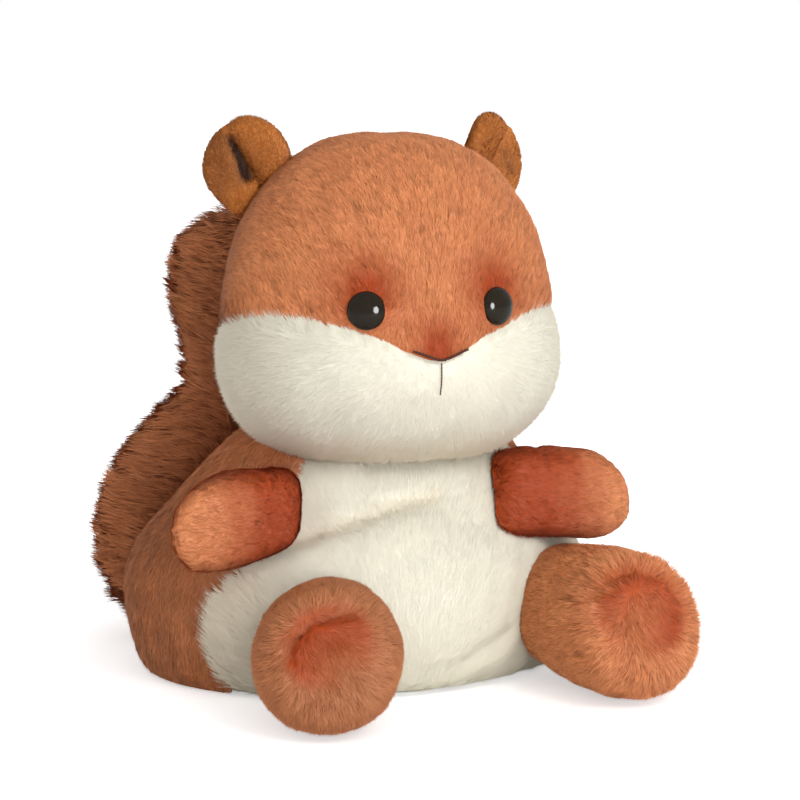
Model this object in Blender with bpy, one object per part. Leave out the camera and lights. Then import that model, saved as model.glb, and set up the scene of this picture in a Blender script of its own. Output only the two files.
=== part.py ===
"""A palm-size sitting plush squirrel, facing -Y, its flat underside on the floor at z = 0.

Lengths are in metres. The animal's own right side is at -X. Each soft form is a plush skin
with its filling inside, and a skin ends where it is sewn to its neighbour."""

import functools
import math

import bpy
import numpy as np
from mathutils import Vector
from mathutils.bvhtree import BVHTree

# Cloth, seams and clearances
PLUSH = 0.0020
SEAM_GAP = 0.0003
FILLING_GAP = 0.0007
FILLING_SHARE = 0.92
HEAD_FILLING_GAP = 0.0007
SEAM_DIP = 0.0005
SEAM_DIP_WIDTH = 0.0036

# Head: its middle, its turn to the animal's own right, and its form from the top down
HEAD_X, HEAD_Y = 0.0011, -0.0125
HEAD_TURN = math.radians(-5.2)
HEAD_HALF_WIDTH = 0.0368
HEAD_HALF_DEPTH = 0.0324
HEAD_PROFILE = (
    (0.1192, 0.00),
    (0.1186, 0.20),
    (0.1170, 0.38),
    (0.1138, 0.55),
    (0.1090, 0.70),
    (0.1030, 0.82),
    (0.0955, 0.91),
    (0.0865, 0.97),
    (0.0775, 1.00),
    (0.0695, 0.995),
    (0.0625, 0.95),
    (0.0570, 0.86),
    (0.0530, 0.74),
    (0.0510, 0.62),
    (0.0502, 0.50),
)
CHEEK_PUFF, CHEEK_HEIGHT, CHEEK_SPREAD = 0.0012, 0.0670, 0.0100
SNOUT_PUFF, SNOUT_HEIGHT, SNOUT_SPREAD = 0.0022, 0.0725, 0.0090

# Seam between the crown and the muzzle band: degrees from the front, then height
MUZZLE_SEAM = (
    (0, 0.0735),
    (8, 0.0755),
    (22, 0.0790),
    (42, 0.0815),
    (65, 0.0812),
    (90, 0.0788),
    (108, 0.0745),
    (122, 0.0670),
    (134, 0.0560),
    (140, 0.0517),
)

# Eyes
EYE_DIAMETER = 0.0080
EYE_RISE = 0.0026
EYE_AZIMUTH = 23.3
EYE_ABOVE_SEAM = 0.0006
EYE_SEAT = 0.0005
SHANK_DIAMETER = 0.0022
SHANK_LENGTH = 0.0066
WASHER_DIAMETER = 0.0085
WASHER_THICKNESS = 0.0010
WASHER_DEPTH = 0.0012

# Stitches of the face
NOSE_THREAD = 0.0012
MOUTH_THREAD = 0.0006
NOSE_SPREAD = 9.0
MOUTH_LENGTH = 0.0068

# Ears: where each meets the head, in degrees from the front and height, and its own form
EAR_AZIMUTH = 115.0
EAR_SEAT_HEIGHT = 0.1074
EAR_STAND = 0.00525
EAR_HALF_WIDTH = 0.0098
EAR_HALF_THICKNESS = 0.0030
EAR_REACH = 0.0100
EAR_ROOT = 0.0110
EAR_LEAN = math.radians(32.0)
EAR_TURN = math.radians(38.0)
EAR_FOLD, EAR_FOLD_LENGTH, EAR_CUP = 0.0016, 0.0085, 0.0030
# Share of the ear's height, then share of its width
EAR_FORM = (
    (0.00, 0.62),
    (0.20, 0.84),
    (0.40, 0.98),
    (0.55, 1.00),
    (0.70, 0.93),
    (0.83, 0.76),
    (0.93, 0.52),
    (0.98, 0.28),
    (1.00, 0.00),
)

# Body from the top down: height, half width, front and back
BODY_X = 0.0015
BODY_PROFILE = (
    (0.0610, 0.0000, -0.0020, -0.0020),
    (0.0600, 0.0110, -0.0100, 0.0070),
    (0.0575, 0.0210, -0.0170, 0.0140),
    (0.0540, 0.0290, -0.0220, 0.0190),
    (0.0490, 0.0345, -0.0265, 0.0255),
    (0.0430, 0.0390, -0.0290, 0.0325),
    (0.0365, 0.0435, -0.0325, 0.0385),
    (0.0295, 0.0490, -0.0370, 0.0440),
    (0.0220, 0.0515, -0.0390, 0.0480),
    (0.0140, 0.0513, -0.0393, 0.0500),
    (0.0070, 0.0502, -0.0375, 0.0503),
    (0.0025, 0.0493, -0.0345, 0.0495),
    (0.0003, 0.0480, -0.0325, 0.0480),
)
WAIST_HEIGHT, WAIST_FOLD, WAIST_SPREAD = 0.0400, 0.0014, 0.0048
# Belly seam: height, then degrees from the front on each side, and the belly's own turn
BELLY_SEAM = (
    (0.0610, 51.0),
    (0.0500, 49.0),
    (0.0400, 46.0),
    (0.0340, 47.0),
    (0.0290, 55.0),
    (0.0240, 62.0),
    (0.0150, 67.0),
    (0.0070, 65.0),
    (0.0000, 58.0),
)
BELLY_TURN = 6.0

# Arms: middle of the right and left arm, and their half sizes seen from the front
ARM_RIGHT = (-0.0408, -0.0252, 0.0400)
ARM_LEFT = (0.0360, -0.0247, 0.0402)
ARM_HALF_LENGTH = 0.0166
ARM_HALF_HEIGHT = 0.0124
ARM_HALF_DEPTH = 0.0095
ARM_LEAN, ARM_SAG, ARM_ROOT_SHIFT = 0.0016, 0.0018, 0.0065
# Roundness of the arm's outline at its tip and at its straight sewn end, and its taper there
ARM_TIP_POWER, ARM_ROOT_POWER, ARM_TAPER = 0.92, 0.50, 0.12
# Depth from the arm's middle towards the front, then share of its outline
ARM_DEPTHS = (
    (-0.0150, 0.260),
    (-0.0125, 0.380),
    (-0.0100, 0.520),
    (-0.0070, 0.760),
    (-0.0030, 0.940),
    (0.0010, 1.000),
    (0.0045, 0.960),
    (0.0072, 0.820),
    (0.0088, 0.580),
    (0.0094, 0.300),
    (0.0095, 0.000),
)

# Feet: middle of the right and left foot, their half width, length and direction
FOOT_RIGHT = (-0.0277, -0.0480, 0.0150)
FOOT_LEFT = (0.0383, -0.0470, 0.0160)
FOOT_RIGHT_TURN = math.radians(-25.0)
FOOT_LEFT_TURN = math.radians(7.0)
FOOT_RIGHT_SCALE, FOOT_LEFT_SCALE = 0.98, 1.04
FOOT_HALF_WIDTH = 0.0158
FOOT_HALF_HEIGHT = 0.0152
FOOT_HALF_LENGTH = 0.0150
FOOT_SOLE_TILT = math.radians(16.0)
FOOT_FLOOR_EDGE = 0.0008
# Length from the foot's middle towards its sole, then share of its width and height
FOOT_LENGTHS = (
    (-0.0400, 0.560),
    (-0.0320, 0.680),
    (-0.0250, 0.770),
    (-0.0180, 0.850),
    (-0.0100, 0.935),
    (-0.0020, 0.990),
    (0.0050, 1.000),
    (0.0105, 0.930),
    (0.0138, 0.790),
    (0.0150, 0.620),
    (0.0145, 0.440),
    (0.0122, 0.230),
    (0.0110, 0.000),
)

# Tail from its root up: middle line, then half width and half thickness
TAIL_LINE = (
    (-0.0220, 0.0300, 0.0060),
    (-0.0255, 0.0435, 0.0100),
    (-0.0258, 0.0520, 0.0165),
    (-0.0232, 0.0555, 0.0260),
    (-0.0190, 0.0545, 0.0360),
    (-0.0128, 0.0520, 0.0455),
    (-0.0082, 0.0500, 0.0545),
    (-0.0070, 0.0495, 0.0640),
    (-0.0072, 0.0500, 0.0750),
    (-0.0075, 0.0500, 0.0860),
    (-0.0088, 0.0495, 0.0950),
    (-0.0096, 0.0490, 0.1000),
)
TAIL_HALF = (
    (0.0110, 0.0065),
    (0.0150, 0.0083),
    (0.0182, 0.0100),
    (0.0195, 0.0113),
    (0.0190, 0.0112),
    (0.0168, 0.0102),
    (0.0146, 0.0096),
    (0.0150, 0.0105),
    (0.0160, 0.0115),
    (0.0158, 0.0112),
    (0.0120, 0.0085),
    (0.0000, 0.0000),
)
TAIL_ROOT_TURN, TAIL_TIP_TURN = math.radians(26.0), math.radians(5.0)

TURN = 2 * math.pi
SAMPLES = np.linspace(0, 1, 121)[:, None]


def colour_material(name, colour, roughness):
    material = bpy.data.materials.new(name)
    material.use_nodes = True
    shader = material.node_tree.nodes["Principled BSDF"]
    shader.inputs["Base Color"].default_value = (*colour, 1.0)
    shader.inputs["Roughness"].default_value = roughness
    shader.inputs["Metallic"].default_value = 0.0
    return material


def curve(at, places, values):
    """Values at these places, on a smooth curve through the given ones."""
    at = np.asarray(at, float)
    places, values = np.asarray(places, float), np.asarray(values, float)
    slopes = np.gradient(values, places, axis=0)
    i = np.clip(np.searchsorted(places, at, side="right") - 1, 0, len(places) - 2)
    step = places[i + 1] - places[i]
    f = np.clip((at - places[i]) / step, 0.0, 1.0)
    if values.ndim > 1:
        f, step = f[..., None], step[..., None]
    return (
        (2 * f**3 - 3 * f**2 + 1) * values[i]
        + (f**3 - 2 * f**2 + f) * step * slopes[i]
        + (3 * f**2 - 2 * f**3) * values[i + 1]
        + (f**3 - f**2) * step * slopes[i + 1]
    )


def shares(points):
    """How far along its length each point of a line lies, from 0 to 1."""
    steps = np.linalg.norm(np.diff(np.asarray(points, float), axis=0), axis=1)
    along = np.concatenate(([0.0], np.cumsum(steps)))
    return along / along[-1]


def hump(distance, width):
    return np.exp(-((distance / width) ** 2))


def unit(vectors):
    return vectors / np.maximum(np.linalg.norm(vectors, axis=-1, keepdims=True), 1e-12)


def normals(surface, u, v):
    step = 1e-3
    inner = np.clip(v, 2 * step, 1 - 2 * step)
    across = surface(u + step, inner) - surface(u - step, inner)
    along = surface(u, inner + step) - surface(u, inner - step)
    return unit(np.cross(across, along))


@functools.lru_cache(maxsize=None)
def facing(surface):
    """1 for a form whose computed normals look out of it, -1 where they look in."""
    u, v = np.arange(8) * TURN / 8, np.full(8, 0.5)
    ring = surface(u, v)
    return np.sign(np.sum((ring - ring.mean(0)) * normals(surface, u, v)))


def below(surface, u, v, depth):
    """Points of a surface moved inwards along its normal."""
    u, v = np.broadcast_arrays(np.asarray(u, float), np.asarray(v, float))
    return surface(u, v) - depth * facing(surface) * normals(surface, u, v)


# Head form: u is the angle from the front, v runs from the top to the neck

HEAD_LINE = [(z, r * HEAD_HALF_WIDTH) for z, r in HEAD_PROFILE]
HEAD_SHARES = shares(HEAD_LINE)
HEAD_LENGTH = sum(math.dist(a, b) for a, b in zip(HEAD_LINE, HEAD_LINE[1:]))


def head(u, v):
    height, share = np.moveaxis(curve(v, HEAD_SHARES, HEAD_PROFILE), -1, 0)
    angle = np.degrees(np.arctan2(np.sin(u), np.cos(u)))
    side = HEAD_HALF_WIDTH * share * np.sin(u)
    depth = -HEAD_HALF_DEPTH * share * np.cos(u)
    seam = np.interp(np.abs(angle), *zip(*MUZZLE_SEAM)) - height
    puff = CHEEK_PUFF * hump(np.abs(angle) - 45, 40) * hump(height - CHEEK_HEIGHT, CHEEK_SPREAD)
    puff = puff + SNOUT_PUFF * hump(angle, 20) * hump(height - SNOUT_HEIGHT, SNOUT_SPREAD)
    puff = puff - SEAM_DIP * hump(seam, SEAM_DIP_WIDTH) * (np.abs(angle) < 140)
    side = side + puff * np.sin(u)
    depth = depth - puff * np.cos(u)
    cos, sin = math.cos(HEAD_TURN), math.sin(HEAD_TURN)
    return np.stack(
        (
            HEAD_X + cos * side - sin * depth,
            HEAD_Y + sin * side + cos * depth,
            height + 0 * side,
        ),
        axis=-1,
    )


def head_share(height):
    """Where on the head's profile a height lies."""
    heights = [z for z, _ in HEAD_PROFILE]
    fine = np.linspace(0, 1, 400)
    z = curve(fine, HEAD_SHARES, heights)
    return np.interp(-np.asarray(height, float), -z, fine)


def muzzle_top(u):
    """The profile place of the muzzle seam, at an angle from the front."""
    angle = np.abs(np.degrees(np.arctan2(np.sin(u), np.cos(u))))
    places, heights = zip(*MUZZLE_SEAM)
    return head_share(curve(angle, places, heights))


# Body form: u is the angle from the front, v runs from the top to the floor

BODY_SHARES = shares([(z, w) for z, w, _, _ in BODY_PROFILE])


def body(u, v):
    height, width, front, back = np.moveaxis(curve(v, BODY_SHARES, BODY_PROFILE), -1, 0)
    middle, depth = (front + back) / 2, (back - front) / 2
    angle = np.degrees(np.arctan2(np.sin(u), np.cos(u)))
    edge = np.abs(np.abs(angle - BELLY_TURN) - belly_edge(height)) * width / 57.3
    dip = SEAM_DIP * hump(edge, SEAM_DIP_WIDTH) * np.clip(height / 0.006, 0, 1)
    fold = WAIST_FOLD * hump(height - WAIST_HEIGHT, WAIST_SPREAD) * hump(angle + 12, 34)
    width, depth = width - dip - fold, depth - dip - fold
    return np.stack(
        (BODY_X + width * np.sin(u), middle - depth * np.cos(u), height + 0 * u), axis=-1
    )


def belly_edge(height):
    heights, angles = zip(*BELLY_SEAM)
    return curve(-np.asarray(height, float), [-z for z in heights], angles)


def closed(rows):
    """Points and faces of a surface whose rows run round it; a row of one point is a tip."""
    points, faces, ids = [], [], []
    for row in rows:
        first = len(points)
        points.extend(row)
        ids.append([first + (k if len(row) > 1 else 0) for k in range(len(rows[1]))])
    for a, b in zip(ids, ids[1:]):
        for k in range(len(a)):
            m = (k + 1) % len(a)
            corners = []
            for c in (a[k], b[k], b[m], a[m]):
                if c not in corners:
                    corners.append(c)
            if len(corners) > 2:
                faces.append(corners)
    return points, faces


def add(name, points, faces, material):
    mesh = bpy.data.meshes.new(name)
    mesh.from_pydata([tuple(map(float, p)) for p in points], [], faces)
    mesh.validate()
    made = bpy.data.objects.new(name, mesh)
    bpy.context.scene.collection.objects.link(made)
    mesh.materials.append(material)
    mesh.polygons.foreach_set("use_smooth", [True] * len(mesh.polygons))
    turn_outwards(made)
    return made


def turn_outwards(made):
    """The faces turned, if the body is inside out."""
    mesh = made.data
    mesh.calc_loop_triangles()
    corners = np.array([mesh.vertices[i].co for t in mesh.loop_triangles for i in t.vertices])
    a, b, c = corners.reshape(-1, 3, 3).transpose(1, 0, 2)
    if np.einsum("ij,ij->i", a, np.cross(b, c)).sum() < 0:
        mesh.flip_normals()


def ring_panel(name, outer, inner, material):
    """A skin open at its first row: rows run round it, and the last row may be a tip."""
    points, faces = closed([*outer, *inner[::-1], outer[0]])
    first = len(points) - len(outer[0])
    faces = [[c - first if c >= first else c for c in face] for face in faces]
    return add(name, points[:first], faces, material)


def strip_panel(name, outer, inner, material):
    """A skin with four edges, closed all round."""
    rows = [np.concatenate((a, b[::-1])) for a, b in zip(outer, inner)]
    points, faces = closed(rows)
    ring, half = len(rows[0]), len(outer[0])
    for start, turned in ((0, False), (len(points) - ring, True)):
        for k in range(half - 1):
            a = (k, k + 1, ring - 2 - k, ring - 1 - k)
            corners = [start + c for c in a]
            faces.append(corners[::-1] if turned else corners)
    return add(name, points, faces, material)


def solid(name, rows, material):
    """A body whose first and last row are tips, or are closed flat."""
    if len(rows[0]) > 1:
        rows = [rows[0].mean(0, keepdims=True), *rows]
    if len(rows[-1]) > 1:
        rows = [*rows, rows[-1].mean(0, keepdims=True)]
    return add(name, *closed(rows), material)


def rounds(count):
    return np.arange(count) * TURN / count


class Host:
    """A closed form that its neighbours are sewn to."""

    def __init__(self, surface):
        u = rounds(120)
        rows = [surface(u, np.full_like(u, v)) for v in np.linspace(0.002, 0.998, 90)]
        rows = [rows[0].mean(0, keepdims=True), *rows, rows[-1].mean(0, keepdims=True)]
        points, faces = closed(rows)
        self.middle = np.mean(points, axis=0)
        self.tree = BVHTree.FromPolygons([tuple(p) for p in points], faces)

    def height(self, point):
        """How far a point lies outside the form, less than 0 inside it."""
        point = Vector(point)
        place, normal, _, distance = self.tree.find_nearest(point)
        if normal.dot(place - Vector(self.middle)) < 0:
            normal = -normal
        return distance if (point - place).dot(normal) > 0 else -distance

    def exits(self, samples, gap):
        """For each column of sampled points, the last share of it still within the gap."""
        far = np.array([[self.height(point) for point in row] for row in samples]) - gap
        count, column = len(far), np.arange(far.shape[1])
        last = count - 1 - np.argmax(far[::-1] < 0, axis=0)
        following = np.minimum(last + 1, count - 1)
        near, clear = far[last, column], far[following, column]
        part = np.where(clear > near, -near / np.maximum(clear - near, 1e-9), 0.0)
        return np.where((far < 0).any(0), (last + np.clip(part, 0, 1)) / (count - 1), 0.0)

    def cap(self, samples, gap, shares_in):
        """Rows that close a filling along the form: smaller copies of it, each cut there."""
        middle, rows = samples.mean(1, keepdims=True), []
        for share in shares_in:
            lines = (middle + share * (samples - middle))[:, : 1 if share == 0 else None]
            at = self.exits(lines, gap) * (len(lines) - 1)
            low = np.minimum(at.astype(int), len(lines) - 2)
            column, part = np.arange(lines.shape[1]), (at - low)[:, None]
            rows.append((1 - part) * lines[low, column] + part * lines[low + 1, column])
        return rows


def rows_of(surface, u, start, count, depth=0.0, tip=True, power=1.0):
    """Rows of a form from a start share for each column to its tip."""
    start = np.broadcast_to(np.asarray(start, float), u.shape)
    rows = []
    for k in range(count):
        share = (k / (count - 1)) ** power
        rows.append(below(surface, u, start + share * (1 - start), depth))
    if tip:
        rows[-1] = rows[-1].mean(0, keepdims=True)
    return rows


def sewn_limb(name, filling, surface, host, materials, columns=24, rows=10):
    """A stuffed limb: a skin sewn to its host along its open end, and its filling."""
    u = rounds(columns)
    outer, inner = [
        rows_of(surface, u, host.exits(below(surface, u, SAMPLES, d), SEAM_GAP), rows, d)
        for d in (0.0, PLUSH)
    ]
    skin = ring_panel(name, outer, inner, materials[0])
    depth = PLUSH + FILLING_GAP
    samples = below(surface, u, SAMPLES, depth)
    start = host.exits(samples, FILLING_GAP)
    core = [
        row.mean(0) + FILLING_SHARE * (row - row.mean(0))
        for row in rows_of(surface, u, start, rows, depth)
    ]
    cap = host.cap(samples, FILLING_GAP, (0.0, 0.35, 0.7))
    solid(filling, [*cap, *core], materials[1])
    return skin


def arm_form(middle, sign):
    """An arm: u runs round its outline seen from the front, v from its hidden back to its front."""
    x, y, z = middle
    places = shares([(a, s) for a, s in ARM_DEPTHS])

    def surface(u, v):
        lift, share = np.moveaxis(curve(v, places, ARM_DEPTHS), -1, 0)
        cos, sin = np.cos(u), np.sin(u)
        power = np.where(cos > 0, ARM_TIP_POWER, ARM_ROOT_POWER)
        along = np.sign(cos) * np.abs(cos) ** power
        height = np.sign(sin) * np.abs(sin) ** power * (1 - ARM_TAPER * (1 - along))
        inwards = np.clip(-lift / ARM_HALF_DEPTH, 0, 2) * ARM_ROOT_SHIFT
        return np.stack(
            (
                x + sign * (ARM_HALF_LENGTH * share * along - inwards),
                y - lift - ARM_LEAN * along * share + 0 * u,
                z + ARM_HALF_HEIGHT * share * height - ARM_SAG * along * share,
            ),
            axis=-1,
        )

    return surface


def foot_form(middle, turn, scale):
    """A foot: u runs round it, v from its hidden root to the middle of its sole."""
    x, y, z = middle
    right = np.array([math.cos(turn), math.sin(turn), 0.0])
    ahead = np.array([math.sin(turn), -math.cos(turn), 0.0])
    places = shares([(a, s * FOOT_HALF_WIDTH) for a, s in FOOT_LENGTHS])

    def surface(u, v):
        forward, share = np.moveaxis(scale * curve(v, places, FOOT_LENGTHS), -1, 0)
        side = FOOT_HALF_WIDTH * share * np.sin(u)
        rise = -FOOT_HALF_HEIGHT * share * np.cos(u)
        tilt = np.clip(0.35 + forward / (1.6 * FOOT_HALF_LENGTH), 0, 1)
        forward = forward - math.tan(FOOT_SOLE_TILT) * rise * tilt
        height = z + rise
        height = FOOT_FLOOR_EDGE * np.logaddexp(0, height / FOOT_FLOOR_EDGE)
        point = side[..., None] * right + forward[..., None] * ahead
        return point + np.stack((x + 0 * side, y + 0 * side, height), axis=-1)

    return surface


def tail_form():
    places = shares(TAIL_LINE)

    def surface(u, v):
        step = 0.004
        line = curve(v, places, TAIL_LINE)
        ahead = unit(
            curve(np.clip(v + step, 0, 1), places, TAIL_LINE)
            - curve(np.clip(v - step, 0, 1), places, TAIL_LINE)
        )
        turn = TAIL_ROOT_TURN + (TAIL_TIP_TURN - TAIL_ROOT_TURN) * v + 0 * u
        side = np.stack((np.cos(turn), np.sin(turn), 0 * turn), axis=-1)
        side = unit(side - (side * ahead).sum(-1, keepdims=True) * ahead)
        across = np.cross(ahead, side)
        half = curve(v, places, TAIL_HALF)
        return (
            line
            + (half[..., 0] * np.sin(u))[..., None] * side
            + (half[..., 1] * np.cos(u))[..., None] * across
        )

    return surface


def ear_form(sign):
    """An ear, folded along its middle: u runs round it, v from its hidden root to its tip."""
    turn = HEAD_TURN + sign * EAR_TURN
    side = np.array((math.cos(turn), math.sin(turn), 0.0))
    front = np.array((math.sin(turn), -math.cos(turn), 0.0))
    up = math.cos(EAR_LEAN) * np.array((0, 0, 1.0)) + sign * math.sin(EAR_LEAN) * side
    side = np.cross(front, up) * -1
    seat = head(np.array(math.radians(sign * EAR_AZIMUTH)), head_share(EAR_SEAT_HEIGHT))
    middle = seat + EAR_STAND * up
    reach = -EAR_ROOT + (EAR_REACH + EAR_ROOT) * np.array([h for h, _ in EAR_FORM])
    places = shares(np.stack((reach, [w * EAR_HALF_WIDTH for _, w in EAR_FORM]), -1))

    def surface(u, v):
        rise = curve(v, places, reach)
        width = np.clip(curve(v, places, [w for _, w in EAR_FORM]), 0, None)
        across = width * np.sin(u)
        plump = np.cos(u) * np.clip(width * 1.6, 0, 1)
        thick = EAR_HALF_THICKNESS * plump
        fold = hump(across, 0.13) * hump(rise, EAR_FOLD_LENGTH) * (np.cos(u) > 0)
        cup = EAR_CUP * across**2 - EAR_FOLD * fold * np.clip(width * 1.4, 0, 1)
        thick = thick * (1 - 0.75 * fold) + cup
        return (
            middle
            + rise[..., None] * up
            + (EAR_HALF_WIDTH * across)[..., None] * side
            + thick[..., None] * front
        )

    return surface


def eye_frame(sign):
    """The middle of an eye on the crown, clear of the muzzle seam, and the direction it looks."""
    u = math.radians(sign * EYE_AZIMUTH)
    v = float(muzzle_top(u)) - (EYE_DIAMETER / 2 + EYE_ABOVE_SEAM) / HEAD_LENGTH
    place = head(np.array(u), np.array(v))
    return place, unit(place - below(head, u, v, 0.001))


def turned(profile, place, axis, columns):
    """Rows round an axis for a profile of (height along it, radius)."""
    side = unit(np.cross(axis, (0.0, 0.0, 1.0)))
    other = np.cross(axis, side)
    rows = []
    for height, radius in profile:
        angles = rounds(columns)[: None if radius else 1]
        ring = np.cos(angles)[:, None] * side + np.sin(angles)[:, None] * other
        rows.append(place + height * axis + radius * ring)
    return rows


def cut(target, rows):
    """A hole through a body, by a hidden cutter."""
    cutter = solid(target.name + "_cutter", rows, target.data.materials[0])
    cutter.hide_render = True
    cutter.display_type = "WIRE"
    modifier = target.modifiers.new("cut", "BOOLEAN")
    modifier.operation, modifier.solver, modifier.object = "DIFFERENCE", "EXACT", cutter


def thread(name, line, radius, material):
    """A round thread along a line, with rounded ends."""
    line = np.asarray(line, float)
    ahead = unit(np.gradient(line, axis=0))
    side = unit(np.cross(ahead, (0.3, 1.0, 0.1)))
    other = np.cross(ahead, side)
    angles = rounds(8)
    rows = [
        c + radius * (np.cos(angles)[:, None] * s + np.sin(angles)[:, None] * o)
        for c, s, o in zip(line, side, other)
    ]
    rows = [(line[0] - 0.6 * radius * ahead[0])[None], *rows]
    rows.append((line[-1] + 0.6 * radius * ahead[-1])[None])
    return solid(name, rows, material)


def make_head(rust, cream, fibre, plastic, washer_plastic, yarn):
    end = math.radians(MUZZLE_SEAM[-1][0])
    band = np.linspace(-end, end, 45)
    slope = np.gradient(muzzle_top(band), band) * HEAD_LENGTH / HEAD_HALF_WIDTH
    gap = 0.7 * SEAM_GAP / HEAD_LENGTH * np.sqrt(1 + slope**2)
    rear = end + (TURN - 2 * end) * np.arange(1, 9) / 9
    u = np.concatenate((band, rear))
    stop = np.concatenate((muzzle_top(band) - gap, np.ones(8)))

    def crown_rows(depth):
        rows = [below(head, u, stop * (k / 16), depth) for k in range(16, -1, -1)]
        rows[-1] = rows[-1].mean(0, keepdims=True)
        return rows

    crown = ring_panel("head_crown", crown_rows(0.0), crown_rows(PLUSH), rust)

    band = band * np.where(np.abs(band) < end - 0.01, 1.0, 0.985)
    start = muzzle_top(band) + 1.3 * gap

    def band_rows(depth):
        return [below(head, band, start + (0.999 - start) * k / 9, depth) for k in range(10)]

    strip_panel("muzzle_band", band_rows(0.0), band_rows(PLUSH), cream)

    u = rounds(40)
    depth = PLUSH + SEAM_DIP + HEAD_FILLING_GAP
    rows = [below(head, u, np.full_like(u, v), depth) for v in np.linspace(0, 0.985, 19)]
    rows[0] = rows[0].mean(0, keepdims=True)
    stuffing = solid("head_stuffing", rows, fibre)

    for side, sign in (("right", -1), ("left", 1)):
        place, axis = eye_frame(sign)
        radius, rise = EYE_DIAMETER / 2, EYE_RISE
        shank, seat = SHANK_DIAMETER / 2, EYE_SEAT
        dome = [
            (seat + rise * math.sin(a), radius * math.cos(a))
            for a in np.linspace(0, math.pi / 2, 7)[:-1]
        ]
        profile = [
            (-SHANK_LENGTH, 0.0),
            (-SHANK_LENGTH, shank),
            (seat - 0.0001, shank),
            (seat - 0.0001, radius * 0.93),
            *dome,
            (seat + rise, 0.0),
        ]
        solid(f"eye_{side}", turned(profile, place, axis, 20), plastic)
        top = -PLUSH - WASHER_DEPTH
        hole, rim = shank + 0.0001, WASHER_DIAMETER / 2
        washer = turned(
            [(top, hole), (top, rim), (top - WASHER_THICKNESS, rim), (top - WASHER_THICKNESS, hole)],
            place,
            axis,
            20,
        )
        ring_panel(f"eye_washer_{side}", washer[:2], washer[:1:-1], washer_plastic)
        wide = hole + 0.0002
        cut(crown, turned([(-0.004, wide), (0.003, wide)], place, axis, 12))
        pocket = [(-SHANK_LENGTH - 0.0004, rim + 0.0004), (0.004, rim + 0.0004)]
        cut(stuffing, turned(pocket, place, axis, 16))

    spread = np.radians(np.linspace(-NOSE_SPREAD, NOSE_SPREAD, 13))
    raised = -(NOSE_THREAD / 2 + SEAM_GAP)
    thread("nose_stitching", below(head, spread, muzzle_top(spread), raised), NOSE_THREAD / 2, yarn)
    low = float(head_share(MUZZLE_SEAM[0][1] - MOUTH_LENGTH))
    high = float(head_share(MUZZLE_SEAM[0][1] - NOSE_THREAD - SEAM_GAP))
    down = np.linspace(high, low, 9)
    raised = -(MOUTH_THREAD / 2 + SEAM_GAP)
    thread("mouth_stitch", below(head, 0 * down, down, raised), MOUTH_THREAD / 2, yarn)


def make_ears(host, pile):
    for side, sign in (("right", -1), ("left", 1)):
        surface = ear_form(sign)
        u = rounds(26)
        samples = below(surface, u, SAMPLES, 0.0)
        rows = rows_of(surface, u, host.exits(samples, SEAM_GAP), 10)
        solid(f"ear_{side}", [*host.cap(samples, SEAM_GAP, (0.0, 0.5)), *rows], pile)


def make_body(head_host, rust, cream, pellets):
    half_gap = 0.7 * SEAM_GAP

    def panel_rows(angles, depth, count):
        """Rows from the head's underside down to the floor edge."""

        def path(share, w):
            z, width, _, _ = np.moveaxis(curve(w, BODY_SHARES, BODY_PROFILE), -1, 0)
            return below(body, angles(share, z, width), np.asarray(w, float), depth)

        places = np.linspace(0, 1, angles.columns)
        start = head_host.exits(path(places, SAMPLES), SEAM_GAP)
        return [path(places, start + (1 - start) * k / (count - 1)) for k in range(count)]

    def belly_angles(share, z, width):
        edge = np.radians(belly_edge(z)) - half_gap / np.maximum(width, 0.01)
        return (2 * share - 1) * edge + math.radians(BELLY_TURN)

    def back_angles(share, z, width):
        edge = np.radians(belly_edge(z)) + half_gap / np.maximum(width, 0.01)
        return edge + share * (TURN - 2 * edge) + math.radians(BELLY_TURN)

    belly_angles.columns, back_angles.columns = 25, 33
    for name, angles, material in (
        ("belly_panel", belly_angles, cream),
        ("body_back", back_angles, rust),
    ):
        outer, inner = panel_rows(angles, 0.0, 17), panel_rows(angles, PLUSH, 17)
        for row in inner:
            row[:, 2] = np.maximum(row[:, 2], BODY_PROFILE[-1][0] + 0.0001)
        strip_panel(name, outer, inner, material)

    _, width, front, back = BODY_PROFILE[-1]
    u, margin = rounds(48), PLUSH + SEAM_GAP + 0.0004
    middle, depth = (front + back) / 2, (back - front) / 2
    outline = [
        np.stack(
            (
                BODY_X + (width - margin) * np.sin(u),
                middle - (depth - margin) * np.cos(u),
                np.full_like(u, z),
            ),
            axis=-1,
        )
        for z in (0.0, PLUSH)
    ]
    faces = [list(range(48)), list(range(95, 47, -1))]
    faces += [[k, 48 + k, 48 + (k + 1) % 48, (k + 1) % 48] for k in range(48)]
    add("base_panel", np.concatenate(outline), faces, cream)

    u, inset = rounds(40), PLUSH + 3 * FILLING_GAP
    floor = PLUSH + FILLING_GAP
    heights = [p[0] for p in BODY_PROFILE]
    fine = np.linspace(0, 1, 400)
    bottom = float(np.interp(-floor, -curve(fine, BODY_SHARES, heights), fine))
    samples = below(body, u, SAMPLES * bottom, inset)
    start = head_host.exits(samples, 2 * FILLING_GAP) * bottom
    rows = [below(body, u, start + (bottom - start) * k / 15, inset) for k in range(16)]
    rows[-1][:, 2] = floor
    cap = head_host.cap(samples, 2 * FILLING_GAP, (0.0, 0.3, 0.6, 0.85))
    solid("body_filling", [*cap, *rows], pellets)


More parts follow.
